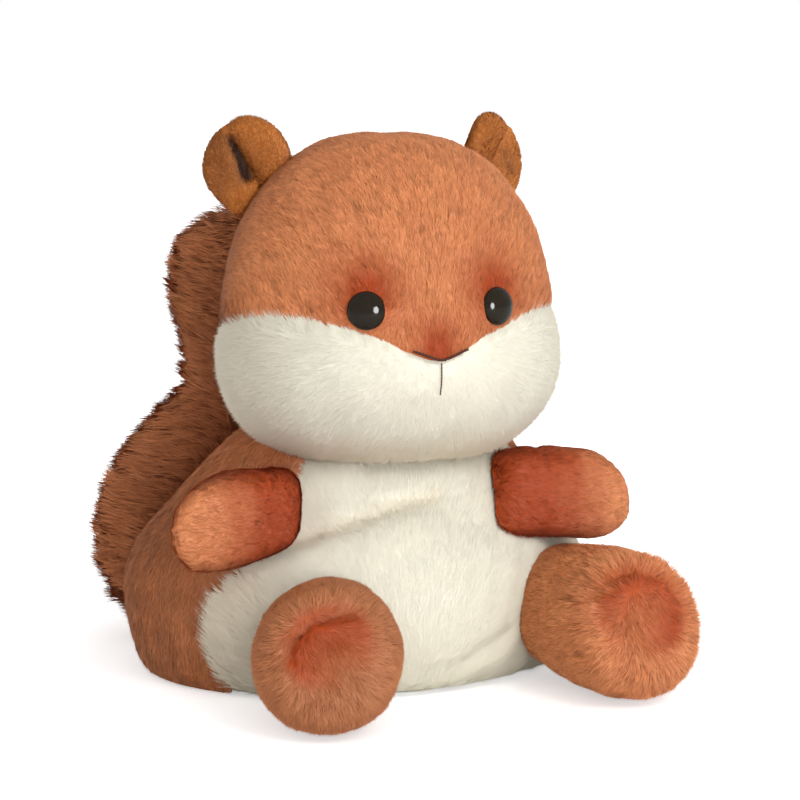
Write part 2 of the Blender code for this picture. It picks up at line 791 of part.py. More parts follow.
def make_limbs(host, rust, fibre, tail_plush):
    for side, sign, middle in (("right", -1, ARM_RIGHT), ("left", 1, ARM_LEFT)):
        names = f"arm_{side}", f"arm_filling_{side}"
        sewn_limb(*names, arm_form(middle, sign), host, (rust, fibre), 32)
    for side, *place in (
        ("right", FOOT_RIGHT, FOOT_RIGHT_TURN, FOOT_RIGHT_SCALE),
        ("left", FOOT_LEFT, FOOT_LEFT_TURN, FOOT_LEFT_SCALE),
    ):
        names = f"foot_{side}", f"foot_filling_{side}"
        sewn_limb(*names, foot_form(*place), host, (rust, fibre))
    sewn_limb("tail", "tail_filling", tail_form(), host, (tail_plush, fibre), 22, 18)


def main():
    for made in list(bpy.data.objects):
        bpy.data.objects.remove(made, do_unlink=True)
    rust = colour_material("plush_rust", (0.44, 0.14, 0.055), 0.9)
    tail_plush = colour_material("plush_long_brown", (0.27, 0.10, 0.05), 0.95)
    cream = colour_material("plush_cream", (0.82, 0.78, 0.66), 0.9)
    pile = colour_material("short_pile_gold", (0.40, 0.17, 0.05), 0.9)
    fibre = colour_material("stuffing_fibre", (0.85, 0.85, 0.83), 1.0)
    pellets = colour_material("bean_pellets", (0.75, 0.75, 0.72), 0.5)
    plastic = colour_material("black_plastic", (0.01, 0.009, 0.008), 0.08)
    washer = colour_material("washer_plastic", (0.75, 0.74, 0.70), 0.4)
    yarn = colour_material("dark_thread", (0.09, 0.025, 0.012), 0.8)

    head_host, body_host = Host(head), Host(body)
    make_head(rust, cream, fibre, plastic, washer, yarn)
    make_ears(head_host, pile)
    make_body(head_host, rust, cream, pellets)
    make_limbs(body_host, rust, fibre, tail_plush)


if __name__ == "__main__":
    main()
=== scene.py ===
"""The looks of a palm-size sitting plush squirrel, built round its packed model.

Lengths are in metres and +Z is up. The animal faces -Y and its own right side is at -X. Each
plush form takes the outer face of its CAD skin, sinks it a little, lets a cloth simulation
fill it out, presses its creases in, and grows its pile from it.
"""

import math

import bpy
import numpy as np
from bpy.props import FloatProperty, FloatVectorProperty, IntProperty, PointerProperty
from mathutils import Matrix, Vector
from mathutils.bvhtree import BVHTree
from mathutils.kdtree import KDTree


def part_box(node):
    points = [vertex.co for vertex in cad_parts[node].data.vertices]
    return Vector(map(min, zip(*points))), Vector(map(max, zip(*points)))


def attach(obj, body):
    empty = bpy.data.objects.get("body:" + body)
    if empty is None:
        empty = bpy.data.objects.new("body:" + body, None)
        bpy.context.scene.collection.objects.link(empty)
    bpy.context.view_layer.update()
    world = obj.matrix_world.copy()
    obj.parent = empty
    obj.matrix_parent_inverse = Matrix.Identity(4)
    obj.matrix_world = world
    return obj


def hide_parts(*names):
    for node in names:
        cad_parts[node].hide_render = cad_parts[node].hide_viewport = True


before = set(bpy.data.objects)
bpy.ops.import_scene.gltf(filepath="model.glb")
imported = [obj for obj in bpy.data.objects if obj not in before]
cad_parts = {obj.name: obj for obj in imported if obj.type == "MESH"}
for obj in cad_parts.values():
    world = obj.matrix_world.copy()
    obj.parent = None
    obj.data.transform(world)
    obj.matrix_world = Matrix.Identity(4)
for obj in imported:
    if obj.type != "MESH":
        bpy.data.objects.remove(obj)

bl_info = {
    "name": "Plush Squirrel",
    "version": (1, 0, 0),
    "blender": (4, 5, 0),
    "location": "3D View > Sidebar > Squirrel",
    "description": "Pile, eyes, stitches and stage of a small sitting plush squirrel",
    "category": "Object",
}

BODY = "root"

# The cloth: its gap to the floor, its thickness, its soft lumps and what its hem tucks under
FLOOR_CLEAR = 0.0002
CLOTH_THICK = 0.0004
LUMP_SIZE = 0.020
HEM_REACH = 0.0008

# The pile: how unevenly it stands, how its nap wanders, and how far it stays off an eye's middle
RISE_SPREAD = 0.3
NAP_WANDER = 0.22
NAP_WAVE = 0.007
EYE_CLEAR = 0.84

# The number of blades on each piece, before those under an eye or a stitch are left out
BLADES = {
    "crown": 144000,
    "muzzle": 91000,
    "back": 82000,
    "belly": 64000,
    "base": 9000,
    "arm": 44000,
    "foot": 54000,
    "tail": 44000,
    "ear": 18000,
}

# Places on the head, which the nap runs away from or round
NOSE_TIP = np.array((-0.0029, -0.0487, 0.0735))
NOSE_PATCH = np.array((-0.0024, -0.0464, 0.0772))
HEAD_MIDDLE = np.array((0.0010, -0.0130, 0.0840))

# Creases, each along the places that it runs through, seen from above the cloth
WAIST_CREASE = np.array(
    (
        (-0.0300, -0.0240, 0.0325),
        (-0.0187, -0.0278, 0.0365),
        (-0.0110, -0.0283, 0.0388),
        (-0.0031, -0.0287, 0.0408),
        (0.0060, -0.0284, 0.0424),
    )
)
LAP_CREASE = np.array(
    ((0.0030, -0.0362, 0.0040), (0.0100, -0.0378, 0.0070), (0.0219, -0.0354, 0.0132))
)
BROW_DART = np.array(
    ((0.0066, -0.0185, 0.1183), (0.0044, -0.0274, 0.1155), (0.0038, -0.0326, 0.1116))
)
SOLE_CREASES = {
    "right": np.array(
        (
            (-0.0410, -0.0574, 0.0165),
            (-0.0388, -0.0571, 0.0212),
            (-0.0352, -0.0570, 0.0243),
            (-0.0310, -0.0580, 0.0254),
            (-0.0255, -0.0591, 0.0262),
        )
    ),
    "left": np.array(
        (
            (0.0285, -0.0568, 0.0240),
            (0.0335, -0.0566, 0.0272),
            (0.0390, -0.0566, 0.0284),
            (0.0455, -0.0570, 0.0262),
            (0.0490, -0.0594, 0.0210),
            (0.0478, -0.0612, 0.0150),
        )
    ),
}
SOLE_MIDDLES = {
    "right": np.array((-0.0335, -0.0590, 0.0190)),
    "left": np.array((0.0400, -0.0600, 0.0195)),
}
ARM_CORNER = np.array((0.0245, -0.0290, 0.0355))
FLANKS = (np.array((-0.0500, 0.0100, 0.0220)), np.array((0.0530, 0.0100, 0.0220)))
EAR_SLITS = {
    "right": np.array(
        (
            (-0.0296, 0.0037, 0.1185),
            (-0.0285, 0.0029, 0.1157),
            (-0.0275, 0.0019, 0.1127),
            (-0.0257, -0.0004, 0.1074),
        )
    ),
    "left": np.array(
        ((0.0325, -0.0032, 0.1150), (0.0335, -0.0038, 0.1117), (0.0349, -0.0040, 0.1075))
    ),
}


def length(name, about, default):
    return FloatProperty(name=name, description=about, default=default, min=0.0, unit="LENGTH")


def angle(name, about, default):
    return FloatProperty(
        name=name, description=about, default=math.radians(default), subtype="ANGLE"
    )


def colour(name, about, default):
    return FloatVectorProperty(
        name=name, description=about, default=default, subtype="COLOR", min=0.0, max=1.0
    )


def share(name, about, default):
    return FloatProperty(
        name=name, description=about, default=default, min=0.0, max=1.0, subtype="FACTOR"
    )


def count(name, about, default):
    return IntProperty(name=name, description=about, default=default, min=1)


def power(name, about, default):
    return FloatProperty(name=name, description=about, default=default, min=0.0, unit="POWER")


class RustPile(bpy.types.PropertyGroup):
    """Short rust plush of the crown, back, arms and feet."""

    length: length("Length", "Length of one blade of the pile", 0.0022)
    width: length("Width", "Width of one blade at its root", 0.00020)
    lift: angle("Lift", "How far the pile stands up from the cloth", 12.0)
    wild: angle("Wildness", "How far blades turn off the nap", 13.0)
    sink: length("Sink", "How far the cloth lies below the outside of the plush", 0.0004)
    tuft: count("Tuft", "Number of blades that lean together", 22)
    gather: share("Gather", "How far the tips of a tuft come together", 0.22)
    relief: share("Relief", "How unevenly the blades catch the light", 0.36)
    sheen: share("Sheen", "Soft shine at the edges", 0.06)
    root: colour("Root", "Colour at the root and of the cloth", (0.500, 0.148, 0.048))
    dark: colour("Dark", "Colour of the darkest blades", (0.620, 0.205, 0.078))
    light: colour("Light", "Colour of the lightest blades", (0.950, 0.380, 0.150))
    stain: colour("Stain", "Colour of the deep rust shading", (0.420, 0.056, 0.006))
    # Painted shade: the colour that the back of the head, the back and sides of the body and the
    # right foot are darkened towards
    shade: colour("Shade", "Colour of the far sides", (0.200, 0.068, 0.031))


class CreamPile(bpy.types.PropertyGroup):
    """Short cream plush of the muzzle and belly."""

    length: length("Length", "Length of one blade of the pile", 0.0022)
    width: length("Width", "Width of one blade at its root", 0.00022)
    lift: angle("Lift", "How far the pile stands up from the cloth", 10.0)
    wild: angle("Wildness", "How far blades turn off the nap", 11.0)
    sink: length("Sink", "How far the cloth lies below the outside of the plush", 0.0004)
    tuft: count("Tuft", "Number of blades that lean together", 30)
    gather: share("Gather", "How far the tips of a tuft come together", 0.08)
    relief: share("Relief", "How unevenly the blades catch the light", 0.07)
    sheen: share("Sheen", "Soft shine at the edges", 0.05)
    root: colour("Root", "Colour at the root and of the cloth", (0.860, 0.820, 0.680))
    dark: colour("Dark", "Colour of the darkest blades", (0.870, 0.835, 0.700))
    light: colour("Light", "Colour of the lightest blades", (0.900, 0.868, 0.740))
    # Painted shade: the cream's stain is the shade under the chin and along the waist crease
    stain: colour("Stain", "Colour of the shading by the neck", (0.800, 0.660, 0.470))
    # Painted shade: the warm, darker colour of the far sides of the muzzle and belly
    shade: colour("Shade", "Colour of the far sides", (0.780, 0.670, 0.510))


class TailPile(bpy.types.PropertyGroup):
    """Long brown plush of the tail."""

    length: length("Length", "Length of one blade of the pile", 0.0074)
    width: length("Width", "Width of one blade at its root", 0.00030)
    lift: angle("Lift", "How far the pile stands up from the cloth", 31.0)
    wild: angle("Wildness", "How far blades turn off the nap", 15.0)
    sink: length("Sink", "How far the cloth lies below the outside of the plush", 0.0008)
    tuft: count("Tuft", "Number of blades that lean together", 26)
    gather: share("Gather", "How far the tips of a tuft come together", 0.45)
    relief: share("Relief", "How unevenly the blades catch the light", 0.13)
    sheen: share("Sheen", "Soft shine at the edges", 0.10)
    root: colour("Root", "Colour at the root and of the cloth", (0.300, 0.090, 0.031))
    dark: colour("Dark", "Colour of the darkest blades", (0.380, 0.118, 0.042))
    light: colour("Light", "Colour of the lightest blades", (0.650, 0.240, 0.098))
    stain: colour("Stain", "Colour of the shading by the body", (0.200, 0.062, 0.026))
    shade: colour("Shade", "Colour of the far sides", (0.160, 0.050, 0.022))


class EarPile(bpy.types.PropertyGroup):
    """Very short golden brown plush of the ears."""

    length: length("Length", "Length of one blade of the pile", 0.0009)
    width: length("Width", "Width of one blade at its root", 0.00018)
    lift: angle("Lift", "How far the pile stands up from the cloth", 32.0)
    wild: angle("Wildness", "How far blades turn off the nap", 40.0)
    sink: length("Sink", "How far the cloth lies below the outside of the plush", 0.0)
    tuft: count("Tuft", "Number of blades that lean together", 14)
    gather: share("Gather", "How far the tips of a tuft come together", 0.35)
    relief: share("Relief", "How unevenly the blades catch the light", 0.18)
    sheen: share("Sheen", "Soft shine at the edges", 0.06)
    root: colour("Root", "Colour at the root and of the cloth", (0.380, 0.112, 0.022))
    dark: colour("Dark", "Colour of the darkest blades", (0.470, 0.142, 0.026))
    light: colour("Light", "Colour of the lightest blades", (0.810, 0.295, 0.060))
    # Painted shade: the near black colour inside the fold of the ear stands in for the shade in it
    stain: colour("Stain", "Colour inside the fold of the ear", (0.045, 0.014, 0.006))
    # Painted shade: the colour that the outer lobe of the right ear is darkened towards
    shade: colour("Shade", "Colour of the far sides", (0.200, 0.060, 0.016))


class StuffingSettings(bpy.types.PropertyGroup):
    """How the stuffing fills the plush."""

    pressure: FloatProperty(
        name="Pressure", description="Push of the stuffing in the simulation", default=8.0, min=0.0
    )
    mass: FloatProperty(
        name="Mass", description="Mass of each point of the simulated cloth", default=0.3, min=0.01
    )
    scale: FloatProperty(
        name="Scale", description="How much larger the cloth is while simulated", default=8.0, min=1.0
    )
    frames: count("Frames", "Number of frames that are simulated", 20)
    cap: length("Cap", "How far the simulation may move a point", 0.0007)
    lumps: length("Lumps", "How far soft lumps stand out of the plush", 0.00025)


class FaceSettings(bpy.types.PropertyGroup):
    """Eyes and stitches of the face."""

    eye_colour: colour("Eye colour", "Colour of the eyes' plastic", (0.0130, 0.0095, 0.0055))
    eye_sink: length("Eye sink", "How far the pile stands above the eyes' rim", 0.0007)
    eye_columns: count("Eye columns", "Number of columns round an eye", 64)
    thread_colour: colour("Thread colour", "Colour of the stitches", (0.045, 0.016, 0.009))
    nose_thread: length("Nose thread", "Width of the yarn under the nose", 0.00066)
    mouth_thread: length("Mouth thread", "Width of the yarn of the mouth", 0.00034)
    twist: length("Twist", "Length of one turn of the yarn", 0.0014)


class StageSettings(bpy.types.PropertyGroup):
    """Camera, lamps and floor."""

    camera_place: FloatVectorProperty(
        name="Camera place",
        description="Where the camera stands",
        default=(-0.2336, -0.5464, 0.1429),
        subtype="TRANSLATION",
    )
    camera_target: FloatVectorProperty(
        name="Camera target",
        description="The point that the camera looks at",
        default=(0.0081, -0.0036, 0.0594),
        subtype="TRANSLATION",
    )
    focal_length: FloatProperty(
        name="Focal length",
        description="Focal length in millimetres, on a sensor 36 mm wide",
        default=122.34,
        subtype="DISTANCE_CAMERA",
    )
    sky: share("Sky", "Strength of the plain light from all round", 0.68)
    key: power("Key lamp", "Power of the large lamp, above and to the right", 1.9)
    front: power("Front lamp", "Power of the low lamp ahead", 2.6)
    catch: power("Catch lamp", "Power of the lamp that only the eyes reflect", 22.0)


def unit(vectors):
    return vectors / np.maximum(np.linalg.norm(vectors, axis=-1, keepdims=True), 1e-12)


def hump(distance, width):
    """1 at no distance, falling softly to 0 past the width."""
    return np.exp(-((distance / width) ** 2))


def step(values, low, high):
    """0 below the low value, 1 above the high one, and smooth between."""
    part = ((values - low) / (high - low)).clip(0, 1)
    return part * part * (3 - 2 * part)


def far_from(points, place):
    return np.linalg.norm(points - place, axis=1)


def waves(points, size, seed):
    """A smooth field of three values, each mostly between -1 and 1."""
    random = np.random.default_rng(seed)
    ways = random.normal(0, 2 * math.pi / size, (5, 3))
    starts = random.uniform(0, 2 * math.pi, (5, 3))
    return 1.4 * np.sin((points @ ways.T)[:, :, None] + starts).mean(1)


def beside_line(points, line):
    """How far points are from a line of stretches, how far along it, and its nearest place."""
    far = np.full(len(points), np.inf)
    along, nearest = np.zeros(len(points)), np.zeros_like(points)
    lengths = np.linalg.norm(np.diff(line, axis=0), axis=1)
    starts = np.concatenate(((0.0,), np.cumsum(lengths)))
    for k, (start, end) in enumerate(zip(line[:-1], line[1:])):
        way = end - start
        part = ((points - start) @ way / (way @ way)).clip(0, 1)
        place = start + part[:, None] * way
        away = np.linalg.norm(points - place, axis=1)
        nearer = away < far
        far[nearer], nearest[nearer] = away[nearer], place[nearer]
        along[nearer] = (starts[k] + part * lengths[k])[nearer] / starts[-1]
    return far, along, nearest


def tapered(along):
    """1 over the middle of a line, falling to 0 at its ends."""
    return 1 - np.abs(2 * along - 1) ** 4


def creased(points, normals, line, depth, width, lip=0.0):
    """Points pressed in along a line, with a soft lip on both sides of it."""
    far, along, _ = beside_line(points, line)
    taper = tapered(along)
    raised = lip * (hump(far, 3.2 * width) - hump(far, 1.4 * width))
    return points + ((raised - depth * hump(far, width)) * taper)[:, None] * normals


def corner_normals(points, faces):
    """The smooth normal at each point of a mesh of triangles."""
    a, b, c = points[faces].transpose(1, 0, 2)
    flat = np.cross(b - a, c - a)
    found = np.zeros_like(points)
    for k in range(3):
        np.add.at(found, faces[:, k], flat)
    return unit(found)


def hem_of(faces):
    """The edges that have one face only."""
    edges = np.concatenate((faces[:, [0, 1]], faces[:, [1, 2]], faces[:, [2, 0]]))
    ordered = np.sort(edges, axis=1)
    _, first, times = np.unique(ordered, axis=0, return_index=True, return_counts=True)
    return edges[first[times == 1]]


def read_mesh(mesh):
    """The points and triangles of a mesh."""
    mesh.calc_loop_triangles()
    points = np.empty(3 * len(mesh.vertices), np.float32)
    mesh.vertices.foreach_get("co", points)
    faces = np.empty(3 * len(mesh.loop_triangles), np.int32)
    mesh.loop_triangles.foreach_get("vertices", faces)
    return points.reshape(-1, 3).astype(float), faces.reshape(-1, 3)


def welded(node_name):
    """Points and triangles of a CAD node, with its split corners joined."""
    points, faces = read_mesh(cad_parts[node_name].data)
    microns = np.round(points * 1e6).astype(np.int64)
    places, index = np.unique(microns, axis=0, return_inverse=True)
    faces = index.reshape(-1)[faces]
    whole = (faces != np.roll(faces, 1, axis=1)).all(axis=1)
    return places * 1e-6, faces[whole]


def outer_face(node_name, filling=None, rim=0.5):
    """The part of a CAD skin that looks away from its filling, by more than a share."""
    points, faces = welded(node_name)
    if filling:
        tree = BVHTree.FromPolygons(*(part.tolist() for part in welded(filling)))
        a, b, c = points[faces].transpose(1, 0, 2)
        middle = (a + b + c) / 3
        away = middle - [tuple(tree.find_nearest(place)[0]) for place in middle.tolist()]
        faces = faces[(unit(away) * unit(np.cross(b - a, c - a))).sum(1) > rim]
    used, index = np.unique(faces, return_inverse=True)
    return points[used], index.reshape(-1, 3)


def trial_object(points, faces):
    mesh = bpy.data.meshes.new("trial")
    mesh.from_pydata(points.tolist(), [], faces.tolist())
    trial = bpy.data.objects.new("trial", mesh)
    bpy.context.scene.collection.objects.link(trial)
    return trial


def evaluated(trial):
    """A trial object's evaluated points and triangles, after which it is removed."""
    shown = trial.evaluated_get(bpy.context.evaluated_depsgraph_get())
    points, faces = read_mesh(shown.to_mesh())
    mesh = trial.data
    bpy.data.objects.remove(trial)
    bpy.data.meshes.remove(mesh)
    return points, faces


def smoothed(points, faces, levels):
    """A finer, rounder copy of a mesh."""
    trial = trial_object(points, faces)
    modifier = trial.modifiers.new("rounder", "SUBSURF")
    modifier.levels = modifier.render_levels = levels
    return evaluated(trial)


def stuffed(points, faces, settings):
    """The cloth as the stuffing fills it out, from a simulation with its hem sewn down."""
    scene = bpy.context.scene
    trial = trial_object(points * settings.scale, faces)
    hem = np.unique(hem_of(faces))
    if not len(hem):
        hem = np.argsort(points[:, 2])[: len(points) // 12]
    sewn = trial.vertex_groups.new(name="sewn")
    sewn.add(hem.tolist(), 1.0, "REPLACE")
    modifier = trial.modifiers.new("cloth", "CLOTH")
    cloth = modifier.settings
    cloth.vertex_group_mass = "sewn"
    cloth.mass = settings.mass
    cloth.quality = 5
    cloth.use_pressure = True
    cloth.uniform_pressure_force = settings.pressure
    cloth.effector_weights.gravity = 0.0
    modifier.collision_settings.use_collision = False
    modifier.point_cache.frame_start = 1
    modifier.point_cache.frame_end = settings.frames
    for k in range(settings.frames):
        scene.frame_set(k + 1)
    moved = evaluated(trial)[0] / settings.scale - points
    scene.frame_set(1)
    far = np.linalg.norm(moved, axis=1, keepdims=True)
    return points + moved * np.minimum(1, settings.cap / np.maximum(far, 1e-9))


def thick(points, faces, normals, depth):
    """A cloth with its back and its hem, closed all round, from its front."""
    hem = hem_of(faces)
    if not len(hem):
        return points, faces, normals
    size = len(points)
    sides = np.concatenate(
        (
            np.stack((hem[:, 1], hem[:, 0], hem[:, 0] + size), 1),
            np.stack((hem[:, 1], hem[:, 0] + size, hem[:, 1] + size), 1),
        )
    )
    back = faces[:, ::-1] + size
    return (
        np.concatenate((points, points - depth * normals)),
        np.concatenate((faces, back, sides)),
        np.concatenate((normals, -normals)),
    )


def let_out(points, faces, normals, reach, tuck):
    """The cloth with its hem carried on, so that it tucks under the cloth beside it."""
    hem = hem_of(faces)
    outward = np.zeros_like(points)
    for k in range(2):
        way = np.cross(points[hem[:, 1]] - points[hem[:, 0]], normals[hem[:, k]])
        np.add.at(outward, hem[:, k], unit(way))
    moved = np.linalg.norm(outward, axis=1, keepdims=True) > 0
    return points + reach * (unit(outward) - tuck * normals) * moved


def scattered(points, faces, normals, number, random, weight):
    """Random places on a mesh and their normals, spread over its area by a weight."""
    a, b, c = points[faces].transpose(1, 0, 2)
    area = np.linalg.norm(np.cross(b - a, c - a), axis=1) * weight((a + b + c) / 3)
    total = np.cumsum(area)
    picked = np.searchsorted(total, random.random(number) * total[-1]).clip(0, len(faces) - 1)
    far, turn = random.random((2, number))
    far = np.sqrt(far)
    shares = np.stack((1 - far, far * (1 - turn), far * turn), axis=1)[:, :, None]
    corners = faces[picked]
    return (shares * points[corners]).sum(1), unit((shares * normals[corners]).sum(1))


def tufts_of(roots, pile, random):
    """For each blade, the number of the blade that its tuft gathers round."""
    chosen = random.choice(len(roots), max(1, len(roots) // pile.tuft), replace=False)
    tree = KDTree(len(chosen))
    for k, place in zip(chosen.tolist(), roots[chosen].tolist()):
        tree.insert(place, k)
    tree.balance()
    return np.array([tree.find(place)[1] for place in roots.tolist()])


def blades(roots, normals, nap, pile, random, grow, bent):
    """Blades that lie along the nap in tufts: points, faces, normals, and tone and height."""
    number = len(roots)
    ahead = unit(nap - (nap * normals).sum(-1, keepdims=True) * normals)
    beside = np.cross(normals, ahead)
    turn = random.normal(0, pile.wild, number)[:, None]
    ahead = np.cos(turn) * ahead + np.sin(turn) * beside
    rise = pile.lift + random.normal(0, RISE_SPREAD * pile.lift, number)
    rise = (rise * grow).clip(0.04, 1.4)[:, None]
    ahead = np.cos(rise) * ahead + np.sin(rise) * normals
    long = (pile.length * grow * random.uniform(0.6, 1.15, number))[:, None]
    wide = (pile.width * random.uniform(0.7, 1.3, number))[:, None]
    side = unit(np.cross(ahead, normals) + random.normal(0, 0.2, (number, 3)))
    tuft = tufts_of(roots, pile, random)
    tip = roots + ahead * long
    tip = tip + pile.gather * ((roots + ahead * long)[tuft] - tip)
    tone = 0.72 * random.random(number) + 0.28 * random.random(number)[tuft]
    lean = random.normal(0, 1, (number, 3))
    shade = unit(normals + 0.15 * ahead + pile.relief * (0.7 * lean + 0.5 * lean[tuft]))
    left, right = roots - side * wide / 2, roots + side * wide / 2
    if bent:
        middle = roots + 0.55 * (tip - roots) + 0.06 * long * normals
        half = 0.36 * wide * side
        corners = np.stack((left, right, middle + half, middle - half, tip), 1)
        order, heights = ((0, 1, 2), (0, 2, 3), (3, 2, 4)), (0, 0, 0.55, 0.55, 1)
    else:
        corners = np.stack((left, right, tip), 1)
        order, heights = ((0, 1, 2),), (0, 0, 1)
    each = corners.shape[1]
    faces = (each * np.arange(number))[:, None, None] + np.array(order)[None]
    return (
        corners.reshape(-1, 3),
        faces.reshape(-1, 3),
        np.repeat(shade, each, axis=0),
        np.repeat(tone, each),
        np.tile(heights, number).astype(float),
    )


def bake_places(number):
    """A place of its own in the unit square for each triangle, two to a small square."""
    across = math.ceil(math.sqrt((number + 1) // 2))
    pair = np.arange(number) // 2
    square = np.stack((pair % across, pair // across), 1)[:, None, :]
    lower = np.array(((0.10, 0.10), (0.76, 0.10), (0.10, 0.76)))
    corners = np.where((np.arange(number) % 2 == 0)[:, None, None], lower, 1 - lower)
    return ((square + corners) / across).reshape(-1, 2)


def plush(name, cloth, hair, stain, shade, materials):
    """One piece of a closed cloth and the pile on it."""
    points, faces, normals = cloth
    hair_points, hair_faces, hair_normals, tone, height = hair
    size = len(points)
    all_points = np.concatenate((points, hair_points))
    all_faces = np.concatenate((faces, hair_faces + size)).astype(np.int32)
    mesh = bpy.data.meshes.new(name)
    mesh.vertices.add(len(all_points))
    mesh.vertices.foreach_set("co", all_points.astype(np.float32).ravel())
    mesh.loops.add(all_faces.size)
    mesh.loops.foreach_set("vertex_index", all_faces.ravel())
    mesh.polygons.add(len(all_faces))
    mesh.polygons.foreach_set("loop_start", np.arange(0, all_faces.size, 3, dtype=np.int32))
    mesh.polygons.foreach_set("use_smooth", np.ones(len(all_faces), bool))
    slots = np.repeat(np.array((0, 1), np.int32), (len(faces), len(hair_faces)))
    mesh.polygons.foreach_set("material_index", slots)
    mesh.update()
    for material in materials:
        mesh.materials.append(material)
    marks = np.ones((len(all_points), 4), np.float32)
    marks[:, 0] = np.concatenate((np.full(size, 0.5), tone))
    marks[:, 1] = np.concatenate((np.zeros(size), height))
    # Blue mark: the share of stain, which is real dye round the eyes, nose, arms and soles, and
    # painted shade along creases, in the ears' folds and under the chin. Alpha mark: the share of
    # painted shade
    marks[:, 2] = stain(all_points).clip(0, 1)
    marks[:, 3] = shade(all_points).clip(0, 1)
    mesh.attributes.new("pile", "FLOAT_COLOR", "POINT").data.foreach_set("color", marks.ravel())
    places = bake_places(len(all_faces)).astype(np.float32)
    mesh.uv_layers.new(name="OFBake").data.foreach_set("uv", places.ravel())
    shades = np.concatenate((normals, hair_normals)).astype(np.float32)
    mesh.normals_split_custom_set_from_vertices(shades)
    piece = bpy.data.objects.new(name, mesh)
    bpy.context.scene.collection.objects.link(piece)
    return piece


def node(tree, kind, *links, **values):
    """A shader node with its plain values set and its inputs linked: (input, output)."""
    made = tree.nodes.new("ShaderNode" + kind)
    for name, value in values.items():
        setattr(made, name, value)
    for socket, source in links:
        if isinstance(source, bpy.types.NodeSocket):
            tree.links.new(source, made.inputs[socket])
        else:
            made.inputs[socket].default_value = source
    return made


def mixed(tree, part, one, other):
    """Two colours mixed; each may be a colour or a socket."""
    return node(tree, "Mix", (0, part), (6, one), (7, other), data_type="RGBA").outputs[2]


def ranged(tree, value, low, high, new_low, new_high):
    links = ((0, value), (1, low), (2, high), (3, new_low), (4, new_high))
    return node(tree, "MapRange", *links).outputs[0]


def new_material(name):
    """A new node material: itself, its tree, its main shader and the place on the object."""
    material = bpy.data.materials.new(name)
    material.use_nodes = True
    tree = material.node_tree
    place = node(tree, "TexCoord").outputs["Object"]
    return material, tree, tree.nodes["Principled BSDF"], place


def plush_material(name, pile, is_hair):
    """Tone from blade to blade, darker at the roots, with soft patches over the cloth, turned to the
    stain colour and to the painted shade colour where the marks ask.
    """
    material, tree, shader, place = new_material(name)
    marks = node(tree, "Attribute", attribute_name="pile")
    split = node(tree, "SeparateColor", (0, marks.outputs["Color"]))
    patches = node(tree, "TexNoise", (0, place), ("Scale", 150.0), ("Detail", 3.0)).outputs[0]
    chosen = (pile.root, pile.dark, pile.light, pile.stain, pile.shade)
    full = [(*tuple(c), 1.0) for c in chosen]
    patchy = ranged(tree, patches, 0.35, 0.65, -0.12, 0.12)
    tone = node(tree, "Math", (0, split.outputs[0]), (1, patchy), operation="ADD", use_clamp=True)
    blade = mixed(tree, tone.outputs[0], full[1], full[2])
    # The alpha mark mixes in the painted shade colour; the blue mark mixes in the stain, which is
    # painted shade on some pieces
    shaded = marks.outputs["Alpha"]
    if is_hair:
        height = ranged(tree, split.outputs[1], 0.0, 0.6, 0.0, 1.0)
        grown = mixed(tree, shaded, mixed(tree, height, full[0], blade), full[4])
        tree.links.new(mixed(tree, split.outputs[2], grown, full[3]), shader.inputs["Base Color"])
        rough = ranged(tree, split.outputs[0], 0.0, 1.0, 0.85, 0.6)
        tree.links.new(rough, shader.inputs["Roughness"])
        shader.inputs["Specular IOR Level"].default_value = 0.2
        shader.inputs["Sheen Weight"].default_value = pile.sheen
        shader.inputs["Sheen Roughness"].default_value = 0.45
        shader.inputs["Sheen Tint"].default_value = full[2]
    else:
        weave = node(tree, "TexNoise", (0, place), ("Scale", 2400.0), ("Detail", 2.0)).outputs[0]
        cloth = mixed(tree, shaded, mixed(tree, weave, full[0], full[1]), full[4])
        tree.links.new(mixed(tree, split.outputs[2], cloth, full[3]), shader.inputs["Base Color"])
        tree.links.new(ranged(tree, weave, 0.3, 0.7, 0.8, 1.0), shader.inputs["Roughness"])
        bump = node(tree, "Bump", ("Height", weave), ("Strength", 0.4), ("Distance", 0.0003))
        tree.links.new(bump.outputs[0], shader.inputs["Normal"])
        shader.inputs["Specular IOR Level"].default_value = 0.1
    return material


def finish_materials(name, pile):
    """The cloth's and the pile's material of one finish, made once."""
    made = bpy.data.materials.get(name + "_cloth")
    if not made:
        made = plush_material(name + "_cloth", pile, False)
        plush_material(name + "_pile", pile, True)
    return made, bpy.data.materials[name + "_pile"]


def nowhere(points):
    return np.zeros(len(points))


def everywhere(points):
    return np.ones(len(points))


def as_is(points, normals):
    return points


